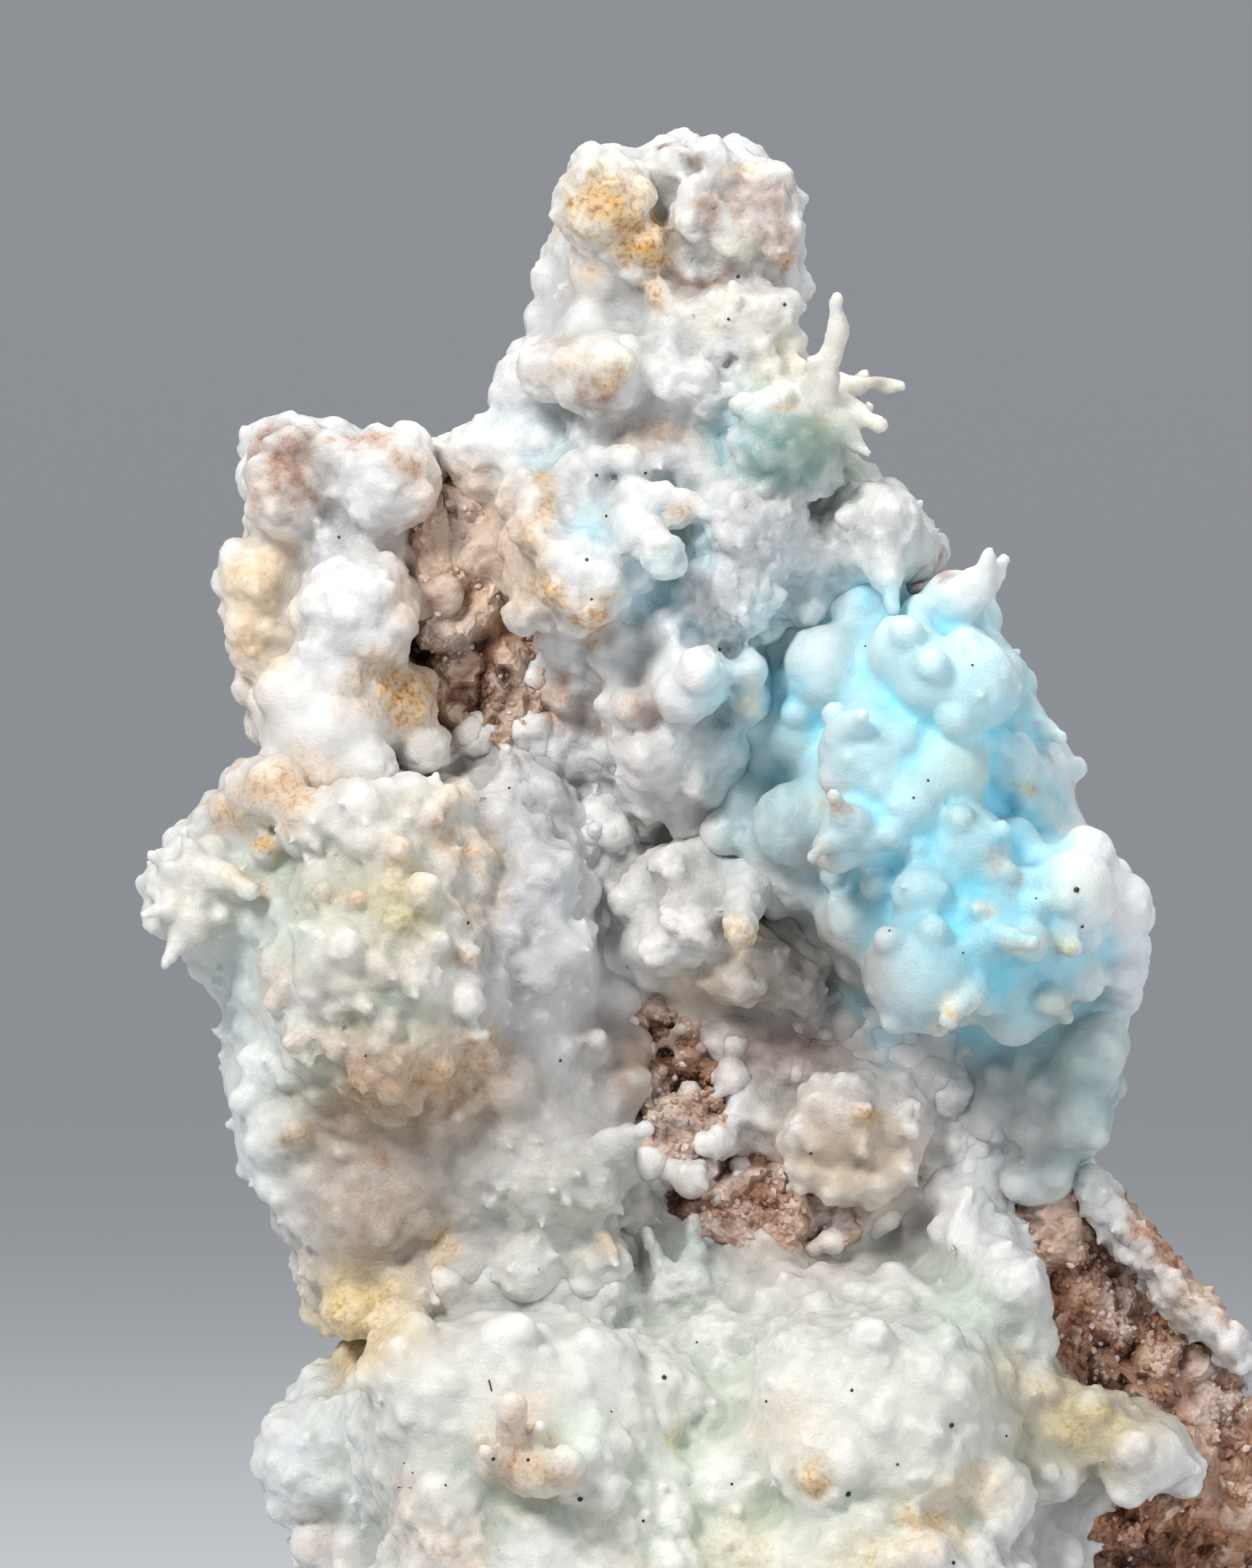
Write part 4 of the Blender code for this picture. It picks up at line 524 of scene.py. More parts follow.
# Painted patches of the rock.
ROCK_PATCHES = [
    # The first patch is pale tan, painted lighter than the rock's own colour, as painted light against the
    # shade of its recess.
    (-13.6, 99.6, 5, 6, (0.98, 0.88, 0.79), 1), (-17, 97, 1.8, 3, (0.56, 0.42, 0.34), 0.8),
    (-11, 93, 2.4, 1.6, (0.84, 0.7, 0.52), 0.8), (-16, 93.5, 2.4, 2, OCHRE, 0.55),
    (-12.2, 88.4, 5.2, 4.4, (0.47, 0.31, 0.22), 0.95), (-11, 84.8, 3.8, 2.2, (0.34, 0.2, 0.14), 0.9),
    (-15.6, 92.6, 2, 2, (0.66, 0.46, 0.28), 0.7), (-2, 84, 1.8, 2.4, DARK, 0.8),
    (-1.2, 72.4, 1.6, 2.2, DARK, 0.85), (-1.6, 68.8, 1.5, 1.6, BROWN, 0.6),
    (2.4, 58.6, 3.2, 3.2, (0.44, 0.26, 0.15), 0.85), (3.6, 54.4, 3, 2.4, (0.46, 0.33, 0.26), 0.8),
    (1, 53.6, 1.8, 3, DARK, 0.8), (4.2, 51.4, 5, 1.2, DARK, 0.8),
    (15, 57.4, 5, 2.4, (0.62, 0.42, 0.38), 0.8), (11, 44.6, 7, 4.4, (0.57, 0.38, 0.28), 0.85),
    (7.6, 46.8, 2.6, 2, LILAC, 0.7), (17.6, 42.4, 1.8, 1.8, GREY, 0.8),
    (22.6, 43.6, 3, 2.6, (0.64, 0.5, 0.42), 0.7), (34, 44.4, 4.8, 4.2, (0.44, 0.23, 0.14), 0.95),
    (30.6, 56.4, 2.6, 1.8, (0.42, 0.24, 0.17), 0.8), (35, 44, 2.6, 3, LILAC, 0.5),
    (36.4, 39.4, 4, 5, (0.6, 0.38, 0.27), 0.8), (42, 36, 3.4, 2.6, (0.68, 0.56, 0.52), 0.5),
    (47.6, 30, 3, 3, (0.62, 0.5, 0.46), 0.6), (50.4, 24.4, 3, 3, (0.52, 0.33, 0.24), 0.6),
    (44.4, 18, 6, 3.2, (0.76, 0.53, 0.39), 0.85), (40, 15, 6, 2, (0.4, 0.24, 0.18), 0.8),
    (46.4, 38.4, 3, 5, (0.74, 0.48, 0.24), 0.7),
]

# Specks of black ore: x, z, radius. Needles of it: x, z, x, z.
SPECKS = [
    (3.1, 31, 0.32), (26.4, 27.3, 0.34), (18, 21.8, 0.36), (26.5, 16.3, 0.26), (18.3, 30.2, 0.22),
    (-3.7, 21.5, 0.34), (-10.7, 24.9, 0.26), (-7.9, 24.8, 0.24), (36.7, 70.7, 0.36), (37.2, 67.7, 0.22),
    (15.2, 49, 0.24), (7.6, 90.3, 0.3), (-12.9, 68, 0.24), (-5.4, 56.6, 0.2), (24.6, 79.6, 0.18),
    (23.4, 78.2, 0.16), (-2.4, 104.6, 0.22), (1.6, 104.8, 0.18), (-1.6, 101.2, 0.2), (-3.2, 97.6, 0.22),
    (-2.8, 94.4, 0.18), (9.2, 121, 0.24), (13, 118.6, 0.22), (8.4, 117.4, 0.2), (-23.6, 99.6, 0.18),
    (-9.6, 79, 0.16), (5.8, 33.6, 0.16), (11.4, 29.2, 0.18), (22, 24.2, 0.18), (-14.6, 22.6, 0.16),
    (1.4, 19.6, 0.2), (8.6, 22.4, 0.18), (31, 26.2, 0.16), (-1.2, 28.4, 0.14), (28.2, 89, 0.16),
    (19.6, 90.6, 0.14), (21.4, 67.4, 0.16), (33.4, 70, 0.14), (27.4, 65.6, 0.14), (-21.2, 57.2, 0.16),
]
NEEDLES = [(-18, 24.2, -17.3, 23.5), (-18.5, 22.2, -17.4, 22.3), (-11.1, 31, -10.9, 30.2)]


def to_model(places):
    """Millimetres of the drawing to metres of the model."""
    return (np.asarray(places, dtype=float) - ORIGIN) * MM


def to_drawing(places):
    return np.asarray(places, dtype=float) / MM + ORIGIN


def linear(colour):
    """A colour as the eye sees it, to linear light."""
    return tuple(c / 12.92 if c < 0.04045 else ((c + 0.055) / 1.055) ** 2.4 for c in colour)


def new_object(name, data):
    thing = bpy.data.objects.new(name, data)
    bpy.context.scene.collection.objects.link(thing)
    return thing


def drop(thing):
    bpy.data.objects.remove(thing, do_unlink=True)


def plain_mesh(thing):
    """An object's mesh with its modifiers applied."""
    graph = bpy.context.evaluated_depsgraph_get()
    return bpy.data.meshes.new_from_object(thing.evaluated_get(graph))


def settle(thing):
    """Applies an object's modifiers to it."""
    mesh = plain_mesh(thing)
    thing.modifiers.clear()
    thing.data = mesh


def surface_tree(thing):
    """An object's surface, for lines of sight and nearest points."""
    return BVHTree.FromObject(thing, bpy.context.evaluated_depsgraph_get())


def opened(mesh):
    bm = bmesh.new()
    bm.from_mesh(mesh)
    return bm


def closed(bm, mesh):
    bm.to_mesh(mesh)
    bm.free()
    return mesh


def read_rows(items, name):
    flat = np.empty(3 * len(items))
    items.foreach_get(name, flat)
    return flat.reshape(-1, 3)


def read_places(thing):
    return read_rows(thing.data.vertices, "co")


def read_normals(thing):
    return read_rows(thing.data.vertex_normals, "vector")


def drawn_places(thing):
    """Where an object's vertices are, in millimetres of the drawing."""
    return to_drawing(read_places(thing))


def write_places(thing, places):
    thing.data.vertices.foreach_set("co", np.ascontiguousarray(places).ravel())
    thing.data.update()


def push_out(thing, heights):
    """Moves every vertex along its normal, by a height in millimetres."""
    write_places(thing, read_places(thing) + read_normals(thing) * np.asarray(heights)[:, None] * MM)


def stand_on_floor(thing):
    """Lifts what lies below the floor up to it."""
    write_places(thing, to_model(np.maximum(drawn_places(thing), (-np.inf, -np.inf, 0))))


def soften(thing, rounds):
    smooth = thing.modifiers.new("fillet", "SMOOTH")
    smooth.factor = 0.5
    smooth.iterations = rounds


def fuse(thing, voxel, rounds):
    """Fuses a form's parts into one skin, and smooths it."""
    grid = thing.modifiers.new("fuse", "REMESH")
    grid.mode = "VOXEL"
    grid.voxel_size = voxel * MM
    soften(thing, rounds)
    settle(thing)


def write_attribute(thing, name, values):
    """Stores a value or colour for each vertex, in place of an older one of that name."""
    if name in thing.data.attributes:
        thing.data.attributes.remove(thing.data.attributes[name])
    if values.ndim == 2:
        layer = thing.data.attributes.new(name, "FLOAT_COLOR", "POINT")
        rows = np.ones((len(values), 4))
        rows[:, :3] = values
        layer.data.foreach_set("color", rows.ravel())
    else:
        layer = thing.data.attributes.new(name, "FLOAT", "POINT")
        layer.data.foreach_set("value", values)


def mark_strewing(thing, share, girth=None):
    """Stores how thickly a surface is strewn at each vertex, and how large the pieces are."""
    write_attribute(thing, "strew", share)
    write_attribute(thing, "girth", np.ones(len(share)) if girth is None else girth)


def blend_step(low, high, values):
    share = np.clip((values - low) / (high - low), 0, 1)
    return share * share * (3 - 2 * share)


def table_rows(cells, seed):
    """A fixed row of four chance values for each cell of a lattice."""
    key = cells[..., 0] * 73856093 ^ cells[..., 1] * 19349663 ^ cells[..., 2] * 83492791
    return TABLE[(key + seed * 977) & 4095]


def lattice(places, spacing):
    """Places in spacings of a lattice, and the cell that each is in."""
    scaled = places / spacing
    return scaled, np.floor(scaled).astype(np.int64)


def bump_heights(places, spacing, seed):
    """Height of close-set round bumps of mixed sizes, from 0 to 1, for places in millimetres."""
    scaled, cell = lattice(places, spacing)
    best = np.zeros(len(places))
    for step in NEIGHBOURS:
        rows = table_rows(cell + step, seed)
        away = np.linalg.norm(cell + step + rows[:, :3] - scaled, axis=1)
        radius = 0.35 + 0.45 * rows[:, 3]
        best = np.maximum(best, np.sqrt(np.maximum(0, radius ** 2 - away ** 2)))
    return best / 0.8


def facet_heights(places, spacing, seed):
    """Height of tilted flat faces that meet in edges, about 0, for places in millimetres."""
    scaled, cell = lattice(places, spacing)
    nearest = np.full(len(places), 9.0)
    height = np.zeros(len(places))
    for step in NEIGHBOURS:
        corner = cell + step
        offset = scaled - corner - table_rows(corner, seed)[:, :3]
        away = np.linalg.norm(offset, axis=1)
        tilt = table_rows(corner, seed + 5)[:, :3] - 0.5
        closer = away < nearest
        nearest = np.where(closer, away, nearest)
        height = np.where(closer, np.einsum("ij,ij->i", offset, tilt) * 2, height)
    return height


def soft_noise(places, spacing, seed):
    """Smooth chance values from -1 to 1."""
    scaled, cell = lattice(places, spacing)
    share = scaled - cell
    share = share * share * (3 - 2 * share)
    total = np.zeros(len(places))
    for corner in CORNERS:
        weight = np.prod(np.where(corner, share, 1 - share), axis=1)
        total += weight * table_rows(cell + corner, seed)[:, 3]
    return total * 2 - 1


def soft_form(node, name, levels):
    """A copy of a solid with its facets rounded off."""
    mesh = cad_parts[node].data.copy()
    bm = opened(mesh)
    bmesh.ops.remove_doubles(bm, verts=bm.verts[:], dist=0.01 * MM)
    closed(bm, mesh)
    mesh.materials.clear()
    form = new_object(name, mesh)
    if levels:
        round_off = form.modifiers.new("round", "SUBSURF")
        round_off.levels = levels
        round_off.render_levels = levels
    return form


def ball_mesh(balls, detail):
    """Balls, each a centre and radius in drawn millimetres, as one mesh."""
    bm = bmesh.new()
    bmesh.ops.create_icosphere(bm, subdivisions=detail, radius=1.0)
    corners = np.array([vert.co[:] for vert in bm.verts])
    faces = np.array([[vert.index for vert in face.verts] for face in bm.faces])
    bm.free()
    places = [to_model(np.array(centre) + corners * radius) for centre, radius in balls]
    shifts = np.arange(len(balls))[:, None, None] * len(corners)
    mesh = bpy.data.meshes.new("balls")
    mesh.from_pydata(np.concatenate(places).tolist(), [], (faces[None] + shifts).reshape(-1, 3).tolist())
    return mesh


def line_of_sight(tree, x, z):
    """Where the line of sight through x, z first meets a surface, and the normal there."""
    return tree.ray_cast(Vector(to_model((x, FAR_FRONT, z))), Vector((0, 1, 0)))[:2]


def surface_at(tree, x, z):
    """Where the line of sight through x, z meets a form, or else its nearest point."""
    hit, normal = line_of_sight(tree, x, z)
    if hit is None:
        hit, normal = tree.find_nearest(Vector(to_model((x, 0, z))))[:2]
    return to_drawing(hit), np.array(normal)


def chain_of_balls(points, root_y, reach):
    """A finger: balls strung closely along a path that comes towards the viewer."""
    balls = []
    points = np.array(points, dtype=float)
    for i in range(len(points) - 1):
        start, end = points[i], points[i + 1]
        length = np.linalg.norm(end[:2] - start[:2])
        steps = max(2, int(length / BALL_STEP))
        for k in range(steps + (i == len(points) - 2)):
            share = k / steps
            x, z, radius = start + (end - start) * share
            along = (i + share) / (len(points) - 1)
            knob = 1 + 0.16 * math.sin(2.6 * (k * BALL_STEP + i))
            balls.append(((x, root_y - reach * along, z), max(THINNEST, radius * knob)))
    return balls


def nub_corner(place):
    """A corner of a small blunt nub that stands on its root."""
    lift = (place.z + 1) / 2
    place.x *= 1 - 0.2 * lift
    place.y *= 1 - 0.2 * lift
    place.z = place.z * 1.3 + 0.6


def lump_corner(place):
    """A corner of a round lump that is sunk a little into what it grows on."""
    place.z -= SINK


def crystal_corner(place):
    """A corner of a blunt grain with flat faces."""
    place *= 0.75 + 0.5 * CRYSTAL_CHANCE.random()
    place.z *= 1.25


def template(name, detail, move_corner):
    """A piece to strew: a ball of radius 1 with its corners moved."""
    bm = bmesh.new()
    bmesh.ops.create_icosphere(bm, subdivisions=detail, radius=1.0)
    for vert in bm.verts:
        move_corner(vert.co)
    return new_object(name, closed(bm, bpy.data.meshes.new(name)))


def add_node(tree, kind, inputs=None, **settings):
    """A node with its settings. Each of its inputs takes a value or another node's output."""
    node = tree.nodes.new(kind)
    for name, setting in settings.items():
        setattr(node, name, setting)
    for key, given in (inputs or {}).items():
        if isinstance(given, bpy.types.NodeSocket):
            tree.links.new(given, node.inputs[key])
        else:
            node.inputs[key].default_value = given
    return node


def strewing_tree():
    """Strews copies of a piece over a surface, as thickly as its strew attribute says."""
    tree = bpy.data.node_groups.new("strewing", "GeometryNodeTree")
    for name, kind in STREW_INPUTS.items():
        tree.interface.new_socket(name, in_out="INPUT", socket_type="NodeSocket" + kind)
    tree.interface.new_socket("Geometry", in_out="OUTPUT", socket_type="NodeSocketGeometry")
    given = add_node(tree, "NodeGroupInput").outputs
    share = add_node(tree, "GeometryNodeInputNamedAttribute", {"Name": "strew"}, data_type="FLOAT")
    strewn = add_node(
        tree, "GeometryNodeDistributePointsOnFaces",
        {"Mesh": given["Geometry"], "Distance Min": given["Spacing"], "Density Max": given["Density"],
         "Density Factor": share.outputs["Attribute"], "Seed": given["Seed"]},
        distribute_method="POISSON")
    piece = add_node(tree, "GeometryNodeObjectInfo", {"Object": given["Piece"]})
    size = add_node(
        tree, "FunctionNodeRandomValue",
        {2: given["Least"], 3: given["Greatest"], "Seed": given["Seed"]}, data_type="FLOAT")
    lean = dict.fromkeys("XYZ", given["Lean"])
    spread = add_node(tree, "ShaderNodeCombineXYZ", lean).outputs[0]
    opposite = add_node(tree, "ShaderNodeVectorMath", {0: spread, "Scale": -1.0}, operation="SCALE")
    tilt = add_node(
        tree, "FunctionNodeRandomValue", {0: opposite.outputs[0], 1: spread}, data_type="FLOAT_VECTOR")
    turn = add_node(
        tree, "FunctionNodeRotateRotation", {0: strewn.outputs["Rotation"], 1: tilt.outputs[0]},
        rotation_space="LOCAL")
    girth = add_node(tree, "GeometryNodeInputNamedAttribute", {"Name": "girth"}, data_type="FLOAT")
    scale = add_node(
        tree, "ShaderNodeMath", {0: size.outputs[1], 1: girth.outputs["Attribute"]},
        operation="MULTIPLY")
    copies = add_node(
        tree, "GeometryNodeInstanceOnPoints",
        {"Points": strewn.outputs["Points"], "Instance": piece.outputs["Geometry"],
         "Rotation": turn.outputs[0], "Scale": scale.outputs[0]})
    chance = add_node(tree, "FunctionNodeRandomValue", data_type="FLOAT")
    marked = add_node(
        tree, "GeometryNodeStoreNamedAttribute",
        {"Geometry": copies.outputs[0], "Name": "chance", "Value": chance.outputs[1]},
        domain="INSTANCE", data_type="FLOAT")
    real = add_node(tree, "GeometryNodeRealizeInstances", {0: marked.outputs[0]})
    finish = add_node(
        tree, "GeometryNodeSetMaterial", {"Geometry": real.outputs[0], "Material": given["Finish"]})
    add_node(tree, "NodeGroupOutput", {"Geometry": finish.outputs[0]})
    return tree


def strewn_mesh(surface, piece, finish, **values):
    """The copies that the strewing tree lays on a surface, as one plain mesh."""
    carrier = new_object("carrier", surface.data.copy())
    layer = carrier.modifiers.new("strew", "NODES")
    layer.node_group = STREWING
    values.update(Piece=piece, Finish=finish)
    for item in STREWING.interface.items_tree:
        if item.in_out == "INPUT" and item.name in values:
            layer[item.identifier] = values[item.name]
    mesh = plain_mesh(carrier)
    drop(carrier)
    return mesh


def strew_lumps(bm, surface, layers, seed):
    """Adds round lumps of mixed sizes to a form, in layers of spacing, least and greatest radius."""
    for i, (spacing, least, greatest) in enumerate(layers):
        bm.from_mesh(strewn_mesh(
            surface, LUMP, None, Spacing=spacing * MM, Density=1 / MM ** 2, Least=least * MM,
            Greatest=greatest * MM, Lean=0.4, Seed=seed + i))


def away_from(places, x, z, width, height):
    """How far places are from the middle of an ellipse, squared. It is 1 on the ellipse."""
    return ((places[:, 0] - x) / width) ** 2 + ((places[:, 2] - z) / height) ** 2


def inside(places, zones):
    """How far places lie within zones that are seen from the front, from 0 to 1."""
    share = np.zeros(len(places))
    for x, z, width, height, strength in zones:
        away = away_from(places, x, z, width, height)
        share = np.maximum(share, strength * (1 - blend_step(0.6, 1.2, away)))
    return share


def wandered(places):
    """Places shifted a little to and fro, for ragged edges."""
    seen = places.copy()
    for axis, seed in ((0, 1), (2, 2)):
        seen[:, axis] += 1.2 * soft_noise(places, 3.0, seed) + 0.5 * soft_noise(places, 1.0, seed + 2)
    return seen


def wash_weight(seen, x, z, width, height, sharpness):
    return np.exp(-0.8 * away_from(seen, x, z, width, height) ** sharpness)


def near_share(places):
    """From 1 at the front of the specimen, where its colours are known, to 0 behind."""
    return 1 - blend_step(PAINT_WHOLE, PAINT_END, places[:, 1])


def mixed(colour, paint, weight):
    return colour + (np.array(linear(paint)) - colour) * np.asarray(weight)[:, None]


def patched(colour, places, seen, patches):
    """Patches laid over a colour, and how stained each place is by the warm ones."""
    near = near_share(places)
    broken = 0.75 + 0.5 * soft_noise(places, 0.9, 9)
    stain = np.zeros(len(places))
    for x, z, width, height, paint, strength in patches:
        weight = np.clip(strength * wash_weight(seen, x, z, width, height, 1.5) * near * broken, 0, 1)
        colour = mixed(colour, paint, weight)
        warmth = max(0.0, paint[0] - paint[2]) * 2.2
        stain = stain * (1 - weight) + weight * warmth
    return colour, np.clip(stain, 0, 1)


def mottled(colour, places):
    mottle = 1 + 0.06 * soft_noise(places, 4.0, 7) + 0.05 * soft_noise(places, 1.3, 8)
    return np.clip(colour * mottle[:, None], 0.01, 0.95)


def crust_colours(places, relief, standing):
    """The colour and stain of a growth: washes, painted shade or painted glow in its hollows, pale tips,
    patches.
    """
    seen = wandered(places)
    near = near_share(places)
    colour = np.tile(linear(FLANK), (len(places), 1))
    for x, z, width, height, paint, strength in WASHES:
        colour = mixed(colour, paint, strength * near * wash_weight(seen, x, z, width, height, 1.3))
    glow = np.zeros(len(places))
    for x, z, width, height, strength in GLOW_ZONES:
        glow = np.maximum(glow, strength * near * wash_weight(seen, x, z, width, height, 2.0))
    # Painted shade darkens the hollows, tinted pale green at the foot; in the glow zones they are a deeper
    # cyan, lit with painted glow.
    deep = 1 - blend_step(-1.1, 0.25, relief)
    fern = inside(seen, FERN_ZONES) * near
    # The factors are squared because they are given as the eye sees them.
    hollow = np.tile(np.array(HOLLOW_SHADE) ** 2, (len(places), 1))
    hollow += (np.array(FERN_SHADE) ** 2 - hollow) * fern[:, None]
    hollow += (np.array(CYAN_GLOW) ** 2 - hollow) * glow[:, None]
    hollow *= colour
    colour = colour + (hollow - colour) * deep[:, None]
    colour = mixed(colour, WHITE, (0.75 - 0.4 * glow) * blend_step(0.3, 1.6, relief))
    colour, stain = patched(colour, places, seen, PATCHES)
    warm = 0.3 + 0.7 * inside(places, NUB_ZONES)
    colour = mixed(colour, NUB_TIP, 0.6 * standing * warm)
    return mottled(colour, places), stain


def rock_colours(places, relief):
    """The colour of the bare rock: painted shade in its pits and paler on its edges, under patches."""
    colour = np.tile(linear(ROCK_GROUND), (len(places), 1))
    colour, _ = patched(colour, places, wandered(places), ROCK_PATCHES)
    # Painted shade darkens the pits, except in the pale zones.
    pits = np.maximum(blend_step(-1.7, 0.0, relief), inside(places, PALE_ZONES))[:, None]
    colour = colour * (np.array(ROCK_PIT_SHADE) * (1 - pits) + pits)
    colour = mixed(colour, ROCK_EDGE, 0.7 * blend_step(0.5, 2.2, relief))
    frost = blend_step(0.05, 0.5, soft_noise(places, 3.4, 74) + 0.4 * soft_noise(places, 1.2, 75))
    colour = mixed(colour, ROCK_FROST, 0.5 * frost * blend_step(-0.6, 0.4, relief))
    return mottled(colour, places)


def smoothed(thing, rounds):
    """Where a form's vertices and normals would be if it were smoothed flat."""
    calm = new_object("calm", thing.data.copy())
    soften(calm, rounds)
    settle(calm)
    rows = read_places(calm), read_normals(calm)
    drop(calm)
    return rows


def relief_of(thing, rounds):
    """How far each vertex stands out from the form when it is smoothed flat."""
    flat_places, normals = smoothed(thing, rounds)
    return np.einsum("ij,ij->i", read_places(thing) - flat_places, normals) / MM


def press_flat(thing):
    """Flattens a growth's domes where it is seen to be flat."""
    places = read_places(thing)
    flat_places, _ = smoothed(thing, FLAT_ROUNDS)
    share = inside(to_drawing(places), FLAT_ZONES)[:, None]
    write_places(thing, places + (flat_places - places) * share)


def thin_out(thing, most):
    """Spends fewer triangles where a form is nearly flat."""
    faces = sum(len(polygon.vertices) - 2 for polygon in thing.data.polygons)
    if faces > most:
        fewer = thing.modifiers.new("fewer", "DECIMATE")
        fewer.ratio = most / faces
        settle(thing)


def dress(thing, finish, **attributes):
    """Gives an object its painted attributes and its material."""
    for name, values in attributes.items():
        write_attribute(thing, name, values)
    thing.data.materials.clear()
    thing.data.materials.append(finish)


def finish_crust(thing, spec):
    """Fine grain, colour and material of a growth or crust."""
    fuse(thing, FINE_GRAIN, 2)
    places = drawn_places(thing)
    rough = spec["roughness"] * (0.75 + 0.35 * soft_noise(places, 8.0, 31))
    rough *= 1 - 0.6 * inside(places, CALM_ZONES) + 0.6 * inside(places, ROUGH_ZONES)
    heights = np.zeros(len(places))
    for i, (spacing, rise) in enumerate(BUMPS):
        heights += rise * rough * (bump_heights(places, spacing, 40 + i) - 0.5)
    push_out(thing, heights)
    stand_on_floor(thing)
    thin_out(thing, spec["faces"])
    places = drawn_places(thing)
    standing = blend_step(0.25, 0.6, relief_of(thing, NUB_ROUNDS))
    colour, stain = crust_colours(places, relief_of(thing, BLUR_ROUNDS), standing)
    dress(thing, ARAGONITE, tint=colour, stain=stain)
    thing.data.polygons.foreach_set("use_smooth", [True] * len(thing.data.polygons))
    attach(thing, "root")


def dome_balls(domes, tree, sink):
    """Domes of x, z and radius at the surface, each a ball sunk by a share of its radius."""
    balls = []
    for x, z, radius in domes:
        hit, normal = surface_at(tree, x, z)
        ball = radius / math.sqrt(1 - sink ** 2) * 0.95
        balls.append((hit - normal * ball * sink, ball))
    return balls


def solids_tree():
    """All the solids together, to look along lines of sight."""
    bm = bmesh.new()
    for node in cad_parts.values():
        bm.from_mesh(node.data)
    tree = BVHTree.FromBMesh(bm)
    bm.free()
    return tree


def plug_balls(plugs):
    """Balls that fill a cleft up to just below what stands around it."""
    balls = []
    for x, z, radius in plugs:
        around = 0
        for dx, dz in ((-1, 0), (1, 0), (0, -1), (0, 1)):
            around += surface_at(SOLIDS, x + dx * (radius + 1), z + dz * (radius + 1))[0][1]
        balls.append(((x, around / 4 + 1.1 * radius, z), radius))
    return balls


def fine_balls(spec, tree):
    """The balls that make up a growth's buds and fingers."""
    balls = []
    for x, z, radius, lift in spec["buds"]:
        hit, normal = surface_at(tree, x, z)
        balls.append((hit + normal * radius * lift, radius))
    for reach, points in spec["fingers"]:
        hit, _ = surface_at(tree, points[0][0], points[0][1])
        balls += chain_of_balls(points, hit[1] + 0.3 * points[0][2], reach)
    return balls


def on_front(thing, places):
    """Which vertices are on the front of a form and face the viewer."""
    return (-read_normals(thing)[:, 1] > 0.1) & (places[:, 1] < FRONT_DEPTH)


def skirt_mask(rock, tree):
    """Where a growth spreads over the rock around it, and how large its lumps are there."""
    flat_places = read_places(rock)
    places = to_drawing(flat_places)
    share = np.zeros(len(places))
    girth = np.ones(len(places))
    for i in np.nonzero(on_front(rock, places) & (places[:, 2] > 1.5))[0]:
        found = tree.find_nearest(Vector(flat_places[i]), SKIRT_WIDTH * MM)
        if found[0] is not None:
            near = 1 - found[3] / MM / SKIRT_WIDTH
            share[i] = 1.0
            girth[i] = 0.35 + 0.65 * near
    return share * (1 - inside(wandered(places), BARE_ZONES)), girth


def make_growth(spec, rock):
    """A growth: its solid rounded off, with lumps, buds, fingers and nubs, painted."""
    node = spec["node"]
    thing = soft_form(node, node + "_crust", 2)
    fuse(thing, CRUST_GRAIN, 2)
    push_out(thing, np.full(len(thing.data.vertices), SWELL))
    press_flat(thing)
    tree = surface_tree(thing)
    bm = opened(thing.data)
    mark_strewing(rock, *skirt_mask(rock, tree))
    strew_lumps(bm, rock, SKIRT_LUMPS, 8)
    if spec["domes"]:
        balls = dome_balls(spec["domes"], tree, spec["sink"]) + plug_balls(spec["plugs"])
        bm.from_mesh(ball_mesh(balls, 3))
    closed(bm, thing.data)
    fuse(thing, CRUST_GRAIN, spec["fillet"])
    tree = surface_tree(thing)
    bm = opened(thing.data)
    places = drawn_places(thing)
    rough = (places[:, 2] > 0.5) * (1 - inside(places, CALM_ZONES))
    mark_strewing(thing, rough * blend_step(-0.7, 0.2, soft_noise(places, 9.0, 20)))
    strew_lumps(bm, thing, spec["lumps"], 5)
    balls = fine_balls(spec, tree)
    if balls:
        bm.from_mesh(ball_mesh(balls, 3))
    mark_strewing(thing, rough * blend_step(-0.3, 0.6, soft_noise(places, 7.0, 21)))
    bm.from_mesh(strewn_mesh(
        thing, NUB, None, Spacing=1.1 * MM, Density=spec["nubs"] / MM ** 2, Least=0.28 * MM,
        Greatest=0.6 * MM, Lean=0.5, Seed=4))
    closed(bm, thing.data)
    finish_crust(thing, spec)
    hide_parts(node)
    return thing


def make_rock_crust(rock):
    """The thin crust of lumps between the growths, laid on the front of the rock."""
    places = drawn_places(rock)
    seen = wandered(places)
    share = inside(seen, CRUST_ZONES) * (1 - inside(seen, BARE_ZONES)) * on_front(rock, places)
    mark_strewing(rock, share)
    bm = bmesh.new()
    strew_lumps(bm, rock, CRUST["lumps"], 15)
    bm.from_mesh(ball_mesh(dome_balls(CRUST["domes"], surface_tree(rock), CRUST["sink"]), 3))
    thing = new_object("rock_crust", closed(bm, bpy.data.meshes.new("rock_crust")))
    finish_crust(thing, CRUST)
    return thing


